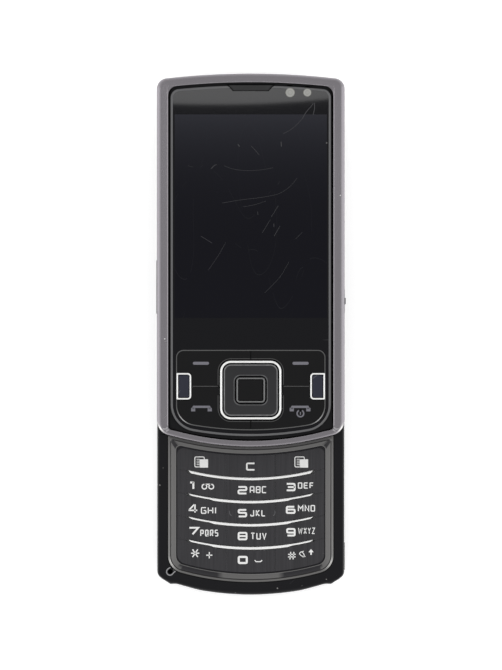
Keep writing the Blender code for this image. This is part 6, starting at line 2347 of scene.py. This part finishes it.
LEGENDS: dict[str, tuple] = {
    "key_shortcut_left": (PageMark(-16.3, -12.25, -17.35, -14.1),),
    "key_clear": (Mark("C", -1.35, 1.3, -18.2, -15.9, 0.45),),
    "key_shortcut_right": (PageMark(12.5, 16.55, -17.35, -14.1),),
    "key_1": (Mark("1", -17.7, -16.2, -23.75, -21.35, 0.55), ReelMark(-14.25, -10.45, -23.7, -21.95)),
    "key_2": (Mark("2", -3.8, -1.0, -25.05, -22.65, 0.52), Mark("ABC", -0.3, 4.55, -24.7, -22.7)),
    "key_3": (Mark("3", 10.1, 12.9, -24.15, -21.75, 0.52), Mark("DEF", 13.55, 18.1, -23.4, -21.6)),
    "key_4": (Mark("4", -18.1, -15.2, -30.35, -27.85, 0.42), Mark("GHI", -14.35, -9.85, -30.65, -28.7)),
    "key_5": (
        Mark("5", -3.75, -1.05, -31.65, -29.25, 0.52),
        Mark("JKL", -0.15, 4.25, -31.4, -29.45),
    ),
    "key_6": (Mark("6", 10.1, 12.9, -30.65, -28.35, 0.52), Mark("MNO", 13.55, 18.5, -30.0, -28.1)),
    "key_7": (Mark("7", -17.9, -14.85, -36.8, -34.4, 0.52), Mark("PQRS", -14.55, -9.35, -37.15, -35.2)),
    "key_8": (Mark("8", -3.75, -0.95, -38.25, -35.85, 0.52), Mark("TUV", -0.05, 4.55, -38.05, -36.05)),
    "key_9": (Mark("9", 10.2, 12.9, -37.15, -34.75, 0.52), Mark("WXYZ", 13.6, 18.5, -36.45, -34.6, 0.24)),
    "key_star": (
        Mark("*", -17.35, -14.65, -43.25, -40.7, 0.34),
        Mark("+", -12.95, -10.9, -43.6, -41.5, 0.3),
    ),
    "key_0": (
        Mark("0", -3.75, -0.85, -45.1, -42.75, 0.6),
        Mark("space", 1.0, 3.4, -44.55, -43.85, 0.28),
    ),
    "key_hash": (
        Mark("#", 10.6, 13.05, -43.9, -41.45, 0.3),
        Mark("mute", 13.8, 15.7, -43.2, -41.35, 0.22),
        ArrowMark(16.6, 18.1, -42.45, -40.8),
    ),
}


@dataclass
class PlainPieces:
    """Pieces whose CAD shape is right, with their seams merged and their curves smooth."""

    copies: tuple[tuple[str, str, Finish, str], ...] = (
        ("rear_tub", "rear_housing", GLOSS_BLACK, "lower_body"),
        ("rear_cover", "battery_cover", GLOSS_BLACK, "battery_cover_body"),
        ("rocker_cap", "volume_rocker", GLOSS_BLACK, "volume_rocker_body"),
        ("hold_cap", "hold_switch", GLOSS_BLACK, "hold_switch_body"),
        ("shutter_cap", "camera_key", GLOSS_BLACK, "camera_key_body"),
        ("port_cap", "port_flap", SATIN_BLACK, "port_flap_body"),
        ("slider_back", "slider_back_cover", SATIN_BLACK, "slider"),
        ("lens_barrel", "camera_module", SATIN_BLACK, "lower_body"),
        ("lens_window", "camera_window", CLEAR_WINDOW, "lower_body"),
    )

    def build(self) -> None:
        """Builds the smooth copies."""
        for entry in self.copies:
            smooth_copy(*entry)


# Studio


@dataclass
class Studio:
    """The camera, the lamps, the sky and the floor."""

    picture_height: float = 0.19256
    picture_centre: Pair = (0.00007, 0.02082)
    camera_height: float = 3.0
    reference_height: float = 0.013
    sensor: float = 36.0
    clip: Pair = (0.05, 20.0)
    lamp_at: Place = (0.9, 0.05, 0.75)
    lamp_size: Pair = (0.5, 1.2)
    lamp_power: float = 1.0
    card_at: Place = (-0.0132, 0.12657, 1.0)
    card_size: Pair = (0.18, 0.0356)
    card_power: float = 0.082
    sky_level: float = 0.55
    sky_low: float = 0.7
    sky_sides: float = 0.5
    floor_half: float = 3.0
    floor_drop: float = 0.0002
    floor_colour: Colour = (0.93, 0.93, 0.93)
    floor_light: float = 0.45
    floor_tone: Pair = (8.0, 0.02)
    floor_roughness: float = 0.8
    floor_specular: float = 0.1

    def build(self) -> None:
        """Sets up the whole studio."""
        scene = bpy.context.scene
        scene.view_settings.view_transform = "Standard"
        self.build_camera(scene)
        self.build_lamps()
        self.build_sky(scene)
        self.build_floor()

    def build_camera(self, scene: bpy.types.Scene) -> None:
        """A long lens straight above the phone."""
        data = bpy.data.cameras.new("camera")
        distance = self.camera_height - self.reference_height
        data.sensor_width = self.sensor
        data.lens = self.sensor * distance / self.picture_height
        data.clip_start, data.clip_end = self.clip
        scene.camera = link("camera", data)
        scene.camera.location = (*self.picture_centre, self.camera_height)

    def lamp(self, name: str, place: Place, size: Pair, power: float, down: bool = False) -> None:
        """A soft lamp: a rectangle that faces the phone, or an ellipse that faces down.

        Args:
            name: its name.
            place: where it hangs.
            size: its width and length.
            power: its power in watts.
            down: True for the ellipse.
        """
        data = bpy.data.lights.new(name, "AREA")
        data.shape = "ELLIPSE" if down else "RECTANGLE"
        data.size, data.size_y = size
        data.energy = power
        lamp = link(name, data)
        lamp.location = place
        if not down:
            aim = Vector((0.0, self.picture_centre[1], 0.0)) - Vector(place)
            lamp.rotation_euler = aim.to_track_quat("-Z", "Y").to_euler()
        lamp.visible_camera = False

    def build_lamps(self) -> None:
        """A long soft lamp on each side, and a small card past the phone's head."""
        x, y, z = self.lamp_at
        for name, side in (("lamp_left", -1), ("lamp_right", 1)):
            self.lamp(name, (side * x, y, z), self.lamp_size, self.lamp_power)
        self.lamp("head_card", self.card_at, self.card_size, self.card_power, True)

    def build_sky(self, scene: bpy.types.Scene) -> None:
        """A sky that is dim overhead and white low down, most of all at the sides."""
        world = bpy.data.worlds.new("studio")
        world.use_nodes = True
        scene.world = world
        tree = Tree(world.node_tree)
        background = world.node_tree.nodes["Background"]
        way = tree.add("SeparateXYZ", {0: tree.add("TexCoord").outputs["Generated"]})
        up = tree.math("MAXIMUM", way.outputs["Z"], 0.0)
        low = tree.math("SUBTRACT", 1.0, up)
        across = tree.math("POWER", tree.math("ABSOLUTE", way.outputs["X"]), 2.0)
        level = tree.math("MULTIPLY_ADD", low, self.sky_low, self.sky_level)
        level = tree.math("MULTIPLY_ADD", across, self.sky_sides, level)
        background.inputs["Color"].default_value = (1.0, 1.0, 1.0, 1.0)
        tree.feed(background.inputs["Strength"], level)

    def build_floor(self) -> None:
        """A pale floor under the phone, which isn't seen from below."""
        loop = self.floor_half * np.array(((-1, -1), (1, -1), (1, 1), (-1, 1)))
        mesh = bpy.data.meshes.new("floor")
        mesh.from_pydata(at_height(loop, -self.floor_drop).tolist(), [], [(0, 1, 2, 3)])
        floor = link("floor", mesh)
        material, tree, shader = new_material("pale_floor")
        scale, amount = self.floor_tone
        tone = use_group(tree, "surface_tone", Scale=scale, Amount=amount)
        colour = tree.tint(self.floor_colour, tone.outputs["Shade"])
        path = tree.add("LightPath")
        seen = tree.math("MAXIMUM", path.outputs["Is Camera Ray"], path.outputs["Is Glossy Ray"])
        seen = tree.math("MAXIMUM", seen, path.outputs["Is Transmission Ray"])
        light = tree.math("MULTIPLY", seen, self.floor_light)
        looks = {"Base Color": colour, "Roughness": self.floor_roughness}
        looks |= {"Specular IOR Level": self.floor_specular, "Emission Strength": light}
        looks["Emission Color"] = (1.0, 1.0, 1.0, 1.0)
        for word, value in looks.items():
            tree.feed(shader.inputs[word], value)
        clear = tree.add("BsdfTransparent")
        back = tree.add("NewGeometry").outputs["Backfacing"]
        both = tree.add("MixShader", {0: back, 1: shader.outputs[0], 2: clear.outputs[0]})
        output = material.node_tree.nodes["Material Output"]
        tree.feed(output.inputs["Surface"], both.outputs[0])
        mesh.materials.append(material)


def main() -> None:
    """Builds the phone's looks and its studio."""
    logging.basicConfig(level=logging.INFO, format="%(message)s")
    dress_nodes()
    deck = KeyDeck()
    SliderFrame().build()
    Window().build(deck.outline())
    deck.build()
    FaceHousing().build()
    KeypadBezel().build()
    Keypad().build()
    PlainPieces().build()
    Studio().build()
    bpy.context.view_layer.update()


if __name__ == "__main__":
    main()
